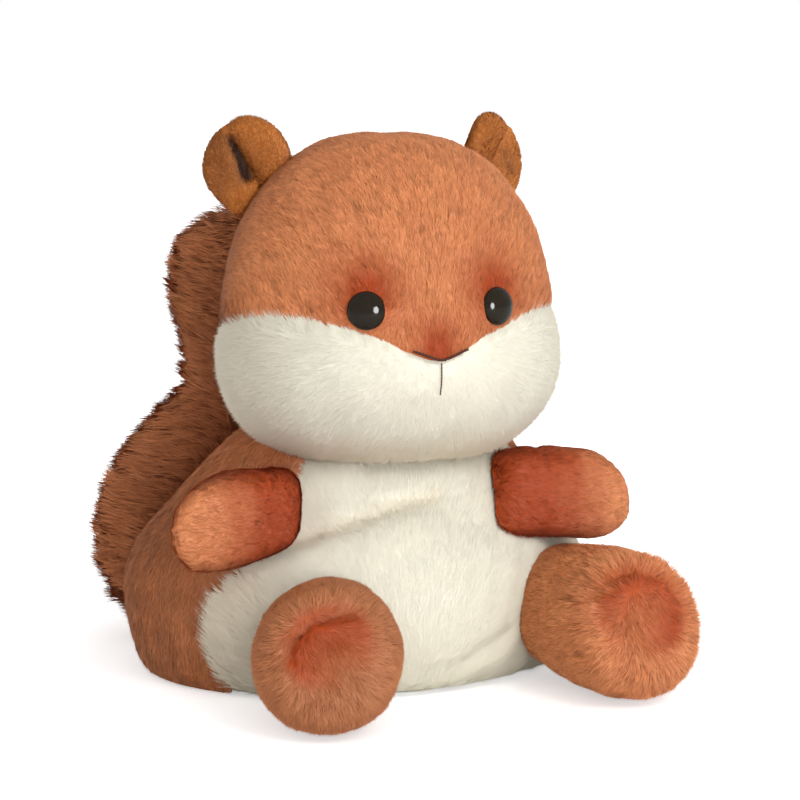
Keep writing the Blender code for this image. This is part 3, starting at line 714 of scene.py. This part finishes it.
def dressed(
    name, cad, filling, finish, number, seed, nap, stain=nowhere, shade=nowhere,
    grow=everywhere, weight=everywhere, keep=None, shape=as_is, finer=0, bent=False,
    rim=0.5, reach=HEM_REACH, tuck=0.4,
):
    """A plush piece grown from a CAD skin's outer face.

    The functions take places on the cloth. nap gives the way the pile runs, stain how far its
    colour turns to the pile's stain, which is real dye on some pieces and painted shade in
    creases, folds and under the chin on others, shade how far it turns to the pile's painted
    shade colour, grow how long it is and weight how dense, keep the roots that stay, and shape
    the cloth's own creases and swellings. rim is how squarely a face looks out of its filling
    to count as outside. reach and tuck carry the hem on.
    """
    scene = bpy.context.scene
    pile, stuffing = getattr(scene, "squirrel_" + finish), scene.squirrel_stuffing
    random = np.random.default_rng(seed)
    points, faces = smoothed(*outer_face(cad, filling, rim), 1)
    points = points - pile.sink * corner_normals(points, faces)
    points = stuffed(points, faces, stuffing)
    if finer:
        points, faces = smoothed(points, faces, finer)
    normals = corner_normals(points, faces)
    points = points + stuffing.lumps * waves(points, LUMP_SIZE, seed)[:, :1] * normals
    points = shape(let_out(points, faces, normals, reach, tuck), normals)
    points[:, 2] = np.maximum(points[:, 2], FLOOR_CLEAR)
    normals = corner_normals(points, faces)
    roots, root_normals = scattered(points, faces, normals, number, random, weight)
    if keep:
        kept = keep(roots)
        roots, root_normals = roots[kept], root_normals[kept]
    lean = unit(nap(roots)) + NAP_WANDER * waves(roots, NAP_WAVE, seed + 50)
    hair = blades(roots, root_normals, lean, pile, random, grow(roots), bent)
    hair[0][:, 2] = np.maximum(hair[0][:, 2], FLOOR_CLEAR)
    cloth = thick(points, faces, normals, CLOTH_THICK)
    piece = plush(name, cloth, hair, stain, shade, finish_materials(finish, pile))
    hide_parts(cad)
    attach(piece, BODY)
    return piece


def eye_frame(side):
    """An eye's middle, the way it looks, its radius and its rise, from its CAD node."""
    points, _ = welded(f"eye_{side}")
    shank = points[np.argsort(far_from(points, HEAD_MIDDLE))[:21]].mean(0)
    ahead = unit(points.mean(0) - shank)
    along = (points - shank) @ ahead
    away = np.linalg.norm(points - shank - along[:, None] * ahead, axis=1)
    radius = away.max()
    rim = along[away > 0.97 * radius].max()
    return shank + rim * ahead, ahead, radius, along.max() - rim


def eye_guard(points):
    """False where a blade would stand under an eye."""
    free = np.ones(len(points), bool)
    for side in ("right", "left"):
        middle, ahead, radius, _ = eye_frame(side)
        away = points - middle
        along = away @ ahead
        free &= np.linalg.norm(away - along[:, None] * ahead, axis=1) > EYE_CLEAR * radius
    return free


class SQUIRREL_OT_crown(bpy.types.Operator):
    """Make the rust crown of the head"""

    bl_idname = "squirrel.crown"
    bl_label = "Crown"

    def execute(self, context):
        eyes = [eye_frame(side)[0] for side in ("right", "left")]
        lids = [eye + (sign * 0.0046, -0.0010, 0.0) for eye, sign in zip(eyes, (1, -1))]

        def nap(points):
            round_it = points - HEAD_MIDDLE
            lean = unit(np.cross((-1.0, 0.0, 0.0), round_it)) + (0.0, 0.3, 0.0)
            lean = lean + 0.35 * unit(round_it) * (1.0, 0.0, 0.0)
            for eye in eyes:
                near = hump(far_from(points, eye), 0.0056)[:, None]
                lean = lean + 1.8 * near * unit(points - eye)
            return lean

        def stain(points):
            found = 0.95 * hump(far_from(points, NOSE_PATCH), 0.0056)
            found = found + 0.9 * hump(far_from(points, NOSE_TIP), 0.0030)
            for eye in eyes:
                found = found + 1.15 * hump(far_from(points, eye + (0.0, 0.0, 0.0038)), 0.0074)
            return found

        # Painted shade: the back and far sides of the head darkened towards the shade colour
        def shade(points):
            return 0.85 * step(points[:, 1], -0.022, 0.004)

        def shape(points, normals):
            puffs = sum(hump(far_from(points, lid), 0.0032) for lid in lids)
            nose = hump(far_from(points, NOSE_TIP), 0.0060)
            points = points + (0.0012 * puffs + 0.0013 * nose)[:, None] * normals
            return creased(points, normals, BROW_DART, depth=0.0004, width=0.0014)

        def grow(points):
            short = np.max([hump(far_from(points, eye), 0.0055) for eye in eyes], axis=0)
            return 1 - 0.45 * short - 0.25 * hump(far_from(points, NOSE_TIP), 0.0080)

        piece = dressed(
            "crown_plush", "head_crown", "head_stuffing", "rust",
            number=BLADES["crown"], seed=11, nap=nap, stain=stain, shade=shade, grow=grow,
            keep=eye_guard, shape=shape,
            weight=lambda places: 1 - 0.35 * step(places[:, 1], -0.012, 0.010),
        )
        return {"FINISHED"}


class SQUIRREL_OT_muzzle(bpy.types.Operator):
    """Make the cream muzzle band"""

    bl_idname = "squirrel.muzzle"
    bl_label = "Muzzle"

    def execute(self, context):
        def nap(points):
            lean = unit(points - (NOSE_TIP + (0.0, 0.0, 0.0040))) + (0.0, 0.25, -0.15)
            aside = np.minimum(1, np.abs(points[:, 0] + 0.0020) / 0.0200)
            below = 0.0745 + 0.0065 * aside - points[:, 2]
            upward = step(-below, -0.0040, -0.0005) * step(-points[:, 1], 0.0, 0.0100)
            return lean + upward[:, None] * (0.0, 0.0, 1.9)

        # Painted shade: the cream low under the muzzle turns to its stain colour, for the shade under
        # the chin
        def stain(points):
            under = step(-points[:, 2], -0.0600, -0.0510)
            return 0.45 * under

        def shape(points, normals):
            mouth = hump(far_from(points, NOSE_TIP - (0.0, 0.0, 0.0045)), 0.0075)
            return points + 0.0009 * mouth[:, None] * normals

        # Painted shade: both ends of the muzzle turn to the warm shade colour
        def shade(points):
            return 0.4 * step(np.abs(points[:, 0]), 0.026, 0.037)

        def grow(points):
            return 0.65 + 1.05 * step(far_from(points, NOSE_TIP), 0.006, 0.036)

        def keep(points):
            low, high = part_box("mouth_stitch")
            beside = np.abs(points[:, 0] - (low[0] + high[0]) / 2) > 0.00035
            return eye_guard(points) & (beside | (points[:, 2] < low[2]) | (points[:, 1] > -0.03))

        piece = dressed(
            "muzzle_plush", "muzzle_band", "head_stuffing", "cream",
            number=BLADES["muzzle"], seed=12, nap=nap, stain=stain, shade=shade, grow=grow,
            keep=keep, shape=shape, reach=0.0018, tuck=0.5,
        )
        return {"FINISHED"}


class SQUIRREL_OT_body(bpy.types.Operator):
    """Make the rust back and the cream belly of the body"""

    bl_idname = "squirrel.body"
    bl_label = "Body"

    def execute(self, context):
        def belly_shape(points, normals):
            points = creased(points, normals, WAIST_CREASE, depth=0.0006, width=0.0028)
            far, along, place = beside_line(points, WAIST_CREASE)
            below = step(place[:, 2] - points[:, 2], 0.0, 0.0030)
            bulge = 0.0010 * below * hump(far - 0.0060, 0.0060) * tapered(along)
            points = points + bulge[:, None] * normals
            return creased(
                points, normals, LAP_CREASE, depth=0.0009, width=0.0021, lip=0.0004
            )

        def belly_nap(points):
            return np.stack((40 * points[:, 0], np.full(len(points), 0.1), everywhere(points)), 1)

        def belly_grow(points):
            return 1 + 0.7 * step(np.abs(points[:, 0]), 0.026, 0.040)

        # Painted shade: the cream darkened at the neck under the chin and along the waist crease
        def belly_neck_and_crease_shade(points):
            neck = 0.15 * step(points[:, 2], 0.0450, 0.0490)
            return neck + 0.4 * hump(beside_line(points, WAIST_CREASE)[0], 0.0016)

        # Painted shade: the far sides of the belly turn to the warm shade colour
        def belly_shade(points):
            return 0.6 * step(np.abs(points[:, 0]), 0.026, 0.040)

        def back_shape(points, normals):
            swell = sum(hump(far_from(points, flank), 0.0180) for flank in FLANKS)
            return points + 0.0018 * swell[:, None] * normals

        def back_nap(points):
            return np.stack((4 * points[:, 0], 4 * points[:, 1], -everywhere(points)), 1)

        # Painted shade over the back and sides, less high up by the shoulders, with random blotches
        # of tone as in crushed pile
        def back_shade(points):
            high = step(points[:, 2], 0.034, 0.048)
            return 0.50 - 0.30 * high + 0.16 * waves(points, 0.010, 5)[:, 0]

        back = dressed(
            "back_plush", "body_back", "body_filling", "rust",
            number=BLADES["back"], seed=13, nap=back_nap, shade=back_shade, shape=back_shape,
        )
        belly = dressed(
            "belly_plush", "belly_panel", "body_filling", "cream",
            number=BLADES["belly"], seed=14, nap=belly_nap, grow=belly_grow, stain=belly_neck_and_crease_shade,
            shade=belly_shade, shape=belly_shape, finer=1, rim=0.15,
        )
        return {"FINISHED"}


class SQUIRREL_OT_base(bpy.types.Operator):
    """Make the panel that the animal sits on"""

    bl_idname = "squirrel.base"
    bl_label = "Base"

    def execute(self, context):
        def nap(points):
            return np.broadcast_to((0.0, 1.0, 0.0), points.shape)

        piece = dressed(
            "base_plush", "base_panel", "body_filling", "cream",
            number=BLADES["base"], seed=22, nap=nap,
        )
        return {"FINISHED"}


class SQUIRREL_OT_arms(bpy.types.Operator):
    """Make the two arms"""

    bl_idname = "squirrel.arms"
    bl_label = "Arms"

    def execute(self, context):
        for side, sign, seed in (("right", -1, 15), ("left", 1, 16)):
            low, high = (np.array(c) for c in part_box(f"arm_{side}"))
            middle, half = (low + high) / 2, (high - low) / 2
            root = middle + np.array((-1.3 * sign, 0.7, 0.1)) * half

            def stain(points, middle=middle, half=half, sign=sign):
                outward = sign * (points[:, 0] - middle[0]) / half[0]
                return 1 - step(outward + 0.12 * waves(points, 0.02, 3)[:, 0], -0.35, 0.80)

            def nap(points, root=root):
                return points - root

            def grow(points):
                return 0.75 * everywhere(points)

            def shape(points, normals, sign=sign):
                lower = hump(far_from(points, ARM_CORNER), 0.0060) * (sign > 0)
                return points + 0.0040 * lower[:, None] * (-0.95, -0.25, -0.15)

            piece = dressed(
                f"arm_{side}_plush", f"arm_{side}", f"arm_filling_{side}", "rust",
                number=BLADES["arm"], seed=seed, nap=nap, stain=stain, grow=grow, shape=shape,
                rim=0.05, tuck=1.6,
            )
        return {"FINISHED"}


class SQUIRREL_OT_feet(bpy.types.Operator):
    """Make the two feet, with the fold in each sole"""

    bl_idname = "squirrel.feet"
    bl_label = "Feet"

    def execute(self, context):
        for side, seed, painted_shade_share in (("right", 17, 0.42), ("left", 18, 0.0)):
            middle, line = SOLE_MIDDLES[side], SOLE_CREASES[side]

            def inside(points, middle=middle, line=line):
                far, along, place = beside_line(points, line)
                nearer = far_from(place, middle) - far_from(points, middle)
                return far, along, nearer

            def shape(points, normals, line=line):
                return creased(points, normals, line, depth=0.0017, width=0.0015, lip=0.0012)

            # The fold is painted shade along the crease; the zone is the sole's own deeper rust
            # inside it
            def stain(points, middle=middle, inside=inside):
                far, along, nearer = inside(points)
                fold = 0.9 * hump(far, 0.0022) * tapered(along)
                zone = step(nearer, -0.0008, 0.0012) * hump(far, 0.0105)
                front = step(-points[:, 1], 0.050, 0.054)
                return np.maximum(fold, zone * front)

            # Painted shade: the right foot darkened all over, the left one not
            def shade(points, painted_shade_share=painted_shade_share):
                return painted_shade_share * everywhere(points)

            def nap(points, middle=middle):
                radial = unit(points - (middle + (0.0, -0.0020, 0.0)))
                inner = hump(far_from(points, middle), 0.0075)[:, None]
                return radial * (1 - inner) + inner * (0.6, 0.0, -1.0)

            def grow(points, inside=inside):
                return 1 + 0.35 * hump(inside(points)[2] + 0.0030, 0.0025)

            piece = dressed(
                f"foot_{side}_plush", f"foot_{side}", f"foot_filling_{side}", "rust",
                number=BLADES["foot"], seed=seed, nap=nap, stain=stain,
                shade=shade, grow=grow, shape=shape, finer=1, reach=0.0024, tuck=0.0,
            )
        return {"FINISHED"}


class SQUIRREL_OT_tail(bpy.types.Operator):
    """Make the long-haired tail"""

    bl_idname = "squirrel.tail"
    bl_label = "Tail"

    def execute(self, context):
        points, _ = welded("tail")
        heights = np.linspace(points[:, 2].min(), points[:, 2].max(), 12)
        gap = heights[1] - heights[0]
        line = np.array([points[np.abs(points[:, 2] - h) < gap].mean(0) for h in heights])

        def nap(places):
            middle = np.stack([np.interp(places[:, 2], heights, line[:, k]) for k in range(2)], 1)
            side = places[:, :2] - middle
            lean = np.concatenate((side, np.zeros((len(places), 1))), axis=1)
            return unit(lean * (1.0, 0.35, 1.0)) + (0.0, 0.0, 0.30)

        piece = dressed(
            "tail_plush", "tail", "tail_filling", "tail",
            number=BLADES["tail"], seed=19, nap=nap, bent=True,
        )
        return {"FINISHED"}


class SQUIRREL_OT_ears(bpy.types.Operator):
    """Make the two ears, each with its fold"""

    bl_idname = "squirrel.ears"
    bl_label = "Ears"

    def execute(self, context):
        for side, seed, fold in (("right", 20, 1.0), ("left", 21, 0.3)):
            low, high = (np.array(c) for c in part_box(f"ear_{side}"))
            root = (low + high) / 2 - (0, 0, 0.014)
            slit = EAR_SLITS[side]

            def shape(points, normals, slit=slit, fold=fold):
                points = points + 0.00045 * normals
                return creased(
                    points, normals, slit, depth=0.0030 * fold, width=0.0010, lip=0.0005
                )

            # Painted shade: the cloth darkens into the slit of the fold, standing in for the shade
            # inside it
            def stain(points, slit=slit, fold=fold):
                far, along, _ = beside_line(points, slit)
                dark = 1.3 * hump(far, 0.0014) + 0.4 * hump(far, 0.0040)
                return fold * dark * tapered(along)

            # Painted shade: the outer lobe of the right ear darkened
            def shade(points, side=side):
                return 0.5 * step(-points[:, 0], 0.0290, 0.0315) * (side == "right")

            def keep(points, slit=slit):
                return beside_line(points, slit)[0] > 0.0004

            def nap(points, root=root):
                return points - root

            piece = dressed(
                f"ear_{side}_plush", f"ear_{side}", None, "ear",
                number=BLADES["ear"], seed=seed, nap=nap, stain=stain, shade=shade, keep=keep,
                shape=shape, finer=1,
            )
        return {"FINISHED"}


def mesh_piece(name, points, faces, material, slot, *replaced):
    """A smooth piece of the face that stands for CAD nodes."""
    mesh = bpy.data.meshes.new(name)
    mesh.from_pydata([tuple(p) for p in points], [], faces)
    mesh.update()
    mesh.shade_smooth()
    mesh.materials.append(material)
    piece = bpy.data.objects.new(name, mesh)
    bpy.context.scene.collection.objects.link(piece)
    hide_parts(*replaced)
    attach(piece, BODY)
    return piece


def eye_material(colour):
    material, tree, shader, place = new_material("black_plastic")
    specks = node(tree, "TexNoise", (0, place), ("Scale", 900.0), ("Detail", 4.0)).outputs[0]
    full = (*tuple(colour), 1.0)
    paler = tuple(1.6 * c for c in colour) + (1.0,)
    tree.links.new(mixed(tree, specks, full, paler), shader.inputs["Base Color"])
    tree.links.new(ranged(tree, specks, 0.3, 0.7, 0.06, 0.11), shader.inputs["Roughness"])
    shader.inputs["Specular IOR Level"].default_value = 0.10
    return material


class SQUIRREL_OT_eyes(bpy.types.Operator):
    """Make the two glossy eyes on their shanks"""

    bl_idname = "squirrel.eyes"
    bl_label = "Eyes"

    def execute(self, context):
        settings = context.scene.squirrel_face
        material = eye_material(settings.eye_colour)
        columns, rings = settings.eye_columns, 24
        shank, depth, back = 0.0016, 0.0055, 0.0008
        for side in ("right", "left"):
            middle, ahead, radius, rise = eye_frame(side)
            middle, rise = middle - settings.eye_sink * ahead, rise - 0.5 * settings.eye_sink
            across = unit(np.cross(ahead, (0.0, 0.0, 1.0)))
            upward = np.cross(across, ahead)
            turns = np.linspace(0, math.pi / 2, rings, endpoint=False)
            profile = [(shank, -depth), (shank, -back), (0.90 * radius, -back)]
            profile += [(radius * math.cos(t), rise * math.sin(t)) for t in turns]
            round_it = np.linspace(0, 2 * math.pi, columns, endpoint=False)
            points = [middle - depth * ahead]
            for wide, along in profile:
                for turn in round_it:
                    way = math.cos(turn) * across + math.sin(turn) * upward
                    points.append(middle + wide * way + along * ahead)
            points.append(middle + rise * ahead)
            faces, last = [], len(points) - 1
            for k in range(columns):
                nearby = (k + 1) % columns
                faces.append((0, 1 + k, 1 + nearby))
                for ring in range(len(profile) - 1):
                    low = 1 + ring * columns
                    high = low + columns
                    faces.append((low + k, high + k, high + nearby, low + nearby))
                top = 1 + (len(profile) - 1) * columns
                faces.append((top + k, last, top + nearby))
            mesh_piece(
                f"eye_{side}_dome", points, faces, material, "black_plastic", f"eye_{side}"
            )
        return {"FINISHED"}


def thread_material(colour):
    material, tree, shader, place = new_material("dark_thread")
    fibres = node(tree, "TexNoise", (0, place), ("Scale", 5000.0), ("Detail", 3.0)).outputs[0]
    full = (*tuple(colour), 1.0)
    paler = tuple(2.2 * c for c in colour) + (1.0,)
    tree.links.new(mixed(tree, fibres, full, paler), shader.inputs["Base Color"])
    tree.links.new(ranged(tree, fibres, 0.3, 0.7, 0.7, 0.95), shader.inputs["Roughness"])
    bump = node(tree, "Bump", ("Height", fibres), ("Strength", 0.5), ("Distance", 0.0001))
    tree.links.new(bump.outputs[0], shader.inputs["Normal"])
    shader.inputs["Specular IOR Level"].default_value = 0.2
    return material


def thread_line(node_name, axis, number):
    """The middle line of a CAD thread that runs along one axis."""
    points, _ = welded(node_name)
    low, high = points[:, axis].min(), points[:, axis].max()
    reach = (high - low) / number
    places = np.linspace(low + reach / 2, high - reach / 2, number)
    near = hump(points[None, :, axis] - places[:, None], reach)
    line = near @ points / near.sum(1, keepdims=True)
    line[:, axis] = places
    return line


def yarn(line, width, twist):
    """Two plies twisted round a line: points and faces."""
    steps, sides = 8 * len(line), 8
    shares = np.linspace(0, len(line) - 1, steps)
    path = np.stack([np.interp(shares, np.arange(len(line)), line[:, k]) for k in range(3)], 1)
    ahead = unit(np.gradient(path, axis=0))
    across = unit(np.cross(ahead, (0.0, -1.0, 0.2)))
    upward = np.cross(across, ahead)
    along = np.concatenate(((0.0,), np.cumsum(np.linalg.norm(np.diff(path, axis=0), axis=1))))
    points, faces = [], []
    for ply in (0, math.pi):
        turn = (2 * math.pi * along / twist + ply)[:, None]
        middle = path + 0.25 * width * (np.cos(turn) * across + np.sin(turn) * upward)
        start = len(points)
        for k in range(steps):
            for side in range(sides):
                round_it = 2 * math.pi * side / sides
                way = math.cos(round_it) * across[k] + math.sin(round_it) * upward[k]
                points.append(middle[k] + 0.27 * width * way)
        for k in range(steps - 1):
            for side in range(sides):
                one, two = start + k * sides + side, start + k * sides + (side + 1) % sides
                faces.append((one, two, two + sides, one + sides))
        faces.append(tuple(start + side for side in reversed(range(sides))))
        faces.append(tuple(start + (steps - 1) * sides + side for side in range(sides)))
    return points, faces


class SQUIRREL_OT_stitches(bpy.types.Operator):
    """Make the yarn under the nose and the stitch of the mouth"""

    bl_idname = "squirrel.stitches"
    bl_label = "Stitches"

    def execute(self, context):
        settings = context.scene.squirrel_face
        material = thread_material(settings.thread_colour)
        for name, axis, width in (
            ("nose_stitching", 0, settings.nose_thread),
            ("mouth_stitch", 2, settings.mouth_thread),
        ):
            line = thread_line(name, axis, 12)
            if axis == 2:
                line = np.concatenate((line, [line[-1] + 2.4 * (line[-1] - line[-2])]))
            points, faces = yarn(line, width, settings.twist)
            mesh_piece(name + "_yarn", points, faces, material, "dark_thread", name)
        return {"FINISHED"}


def inner_material(name, colour, scale, rough):
    """A plain inner material with its grain."""
    material, tree, shader, place = new_material(name)
    grain = node(tree, "TexVoronoi", (0, place), ("Scale", scale)).outputs[0]
    darker = tuple(0.8 * c for c in colour) + (1.0,)
    tree.links.new(mixed(tree, grain, (*colour, 1.0), darker), shader.inputs["Base Color"])
    tree.links.new(ranged(tree, grain, 0.0, 1.0, rough, rough + 0.1), shader.inputs["Roughness"])
    bump = node(tree, "Bump", ("Height", grain), ("Strength", 0.5), ("Distance", 0.0005))
    tree.links.new(bump.outputs[0], shader.inputs["Normal"])
    return material


class SQUIRREL_OT_insides(bpy.types.Operator):
    """Give the stuffing, the pellets and the washers of the eyes their materials"""

    bl_idname = "squirrel.insides"
    bl_label = "Insides"

    def execute(self, context):
        made = {
            "stuffing_fibre": inner_material("stuffing_fibre", (0.85, 0.85, 0.83), 900.0, 0.85),
            "bean_pellets": inner_material("bean_pellets", (0.75, 0.75, 0.70), 350.0, 0.5),
            "washer_plastic": inner_material("washer_plastic", (0.70, 0.70, 0.70), 1500.0, 0.4),
        }
        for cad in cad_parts.values():
            for slot in cad.material_slots:
                worn = slot.material and slot.material.name.split(".")[0]
                if worn in made:
                    slot.material = made[worn]
        return {"FINISHED"}


def seen_share(tree, plain, seen):
    """One strength for the light that falls on things, another for what the camera sees."""
    path = node(tree, "LightPath").outputs
    any_seen = path["Is Camera Ray"]
    for other in ("Is Glossy Ray", "Is Transmission Ray"):
        either = node(tree, "Math", (0, any_seen), (1, path[other]), operation="MAXIMUM")
        any_seen = either.outputs[0]
    spread = node(tree, "Mix", (0, any_seen), (2, plain), (3, seen), data_type="FLOAT")
    return spread.outputs[0]


def floor_material():
    """A pale floor, plain white further off, which keeps the shadow under the animal."""
    material, tree, shader, place = new_material("floor")
    away = node(tree, "VectorMath", (0, place), operation="LENGTH").outputs["Value"]
    glow = ranged(tree, away, 0.06, 0.17, 0.50, 1.0)
    mottle = node(tree, "TexNoise", (0, place), ("Scale", 30.0)).outputs[0]
    pale = mixed(tree, mottle, (0.88, 0.88, 0.88, 1.0), (0.92, 0.92, 0.92, 1.0))
    tree.links.new(pale, shader.inputs["Base Color"])
    shader.inputs["Roughness"].default_value = 0.9
    shader.inputs["Emission Color"].default_value = (1.0, 1.0, 1.0, 1.0)
    tree.links.new(seen_share(tree, 0.0, glow), shader.inputs["Emission Strength"])
    return material


class SQUIRREL_OT_stage(bpy.types.Operator):
    """Make the floor, lamps and camera"""

    bl_idname = "squirrel.stage"
    bl_label = "Stage"

    def execute(self, context):
        scene = context.scene
        settings = scene.squirrel_stage
        camera = bpy.data.objects.new("camera", bpy.data.cameras.new("camera"))
        scene.collection.objects.link(camera)
        camera.location = settings.camera_place
        towards = Vector(settings.camera_target) - camera.location
        camera.rotation_euler = towards.to_track_quat("-Z", "Y").to_euler()
        camera.data.lens, camera.data.sensor_width = settings.focal_length, 36.0
        camera.data.clip_start = 0.01
        scene.camera = camera

        world = bpy.data.worlds.new("studio")
        world.use_nodes = True
        scene.world = world
        tree = world.node_tree
        tree.links.new(seen_share(tree, settings.sky, 1.0), tree.nodes["Background"].inputs[1])
        tree.nodes["Background"].inputs[0].default_value = (1.0, 1.0, 1.0, 1.0)

        half = 3.0
        corners = [(-half, -half, 0), (half, -half, 0), (half, half, 0), (-half, half, 0)]
        mesh = bpy.data.meshes.new("floor")
        mesh.from_pydata(corners, [], [(0, 1, 2, 3)])
        floor = bpy.data.objects.new("floor", mesh)
        scene.collection.objects.link(floor)
        floor.data.materials.append(floor_material())

        for name, side, rise, far, size, watts in (
            ("key", 8.0, 34.0, 0.80, 0.34, settings.key),
            ("front", -10.0, 3.0, 0.85, 0.40, settings.front),
            ("catch", 5.0, 9.0, 0.85, 0.34, settings.catch),
        ):
            lamp = bpy.data.lights.new(name, "AREA")
            lamp.shape, lamp.size, lamp.energy = "DISK", size, watts
            holder = bpy.data.objects.new(name, lamp)
            scene.collection.objects.link(holder)
            side, rise = math.radians(side), math.radians(rise)
            aim = Vector((0.0, 0.0, 0.05))
            level = math.cos(rise)
            way = Vector((math.sin(side) * level, -math.cos(side) * level, math.sin(rise)))
            holder.location = aim + far * way
            holder.rotation_euler = way.to_track_quat("Z", "Y").to_euler()
            holder.visible_glossy = name == "catch"
            holder.visible_diffuse = not holder.visible_glossy
        scene.view_settings.view_transform = "Standard"
        return {"FINISHED"}


class SQUIRREL_PT_panel(bpy.types.Panel):
    """Pieces of the squirrel"""

    bl_label = "Squirrel"
    bl_space_type = "VIEW_3D"
    bl_region_type = "UI"
    bl_category = "Squirrel"

    def draw(self, context):
        for made in OPERATORS:
            self.layout.operator(made.bl_idname)
        for name, kind in SETTINGS.items():
            settings = getattr(context.scene, name)
            box = self.layout.box()
            box.label(text=kind.__doc__)
            for key in kind.__annotations__:
                box.prop(settings, key)


SETTINGS = {
    "squirrel_rust": RustPile,
    "squirrel_cream": CreamPile,
    "squirrel_tail": TailPile,
    "squirrel_ear": EarPile,
    "squirrel_stuffing": StuffingSettings,
    "squirrel_face": FaceSettings,
    "squirrel_stage": StageSettings,
}
OPERATORS = (
    SQUIRREL_OT_stage,
    SQUIRREL_OT_crown,
    SQUIRREL_OT_muzzle,
    SQUIRREL_OT_body,
    SQUIRREL_OT_base,
    SQUIRREL_OT_arms,
    SQUIRREL_OT_feet,
    SQUIRREL_OT_tail,
    SQUIRREL_OT_ears,
    SQUIRREL_OT_eyes,
    SQUIRREL_OT_stitches,
    SQUIRREL_OT_insides,
)


def register():
    for kind in (*SETTINGS.values(), *OPERATORS, SQUIRREL_PT_panel):
        bpy.utils.register_class(kind)
    for name, kind in SETTINGS.items():
        setattr(bpy.types.Scene, name, PointerProperty(type=kind))


def unregister():
    for name in SETTINGS:
        delattr(bpy.types.Scene, name)
    for kind in (SQUIRREL_PT_panel, *OPERATORS[::-1], *list(SETTINGS.values())[::-1]):
        bpy.utils.unregister_class(kind)


def main():
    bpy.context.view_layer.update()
    register()
    for kind in OPERATORS:
        group, action = kind.bl_idname.split(".")
        getattr(getattr(bpy.ops, group), action)()


if __name__ == "__main__":
    main()
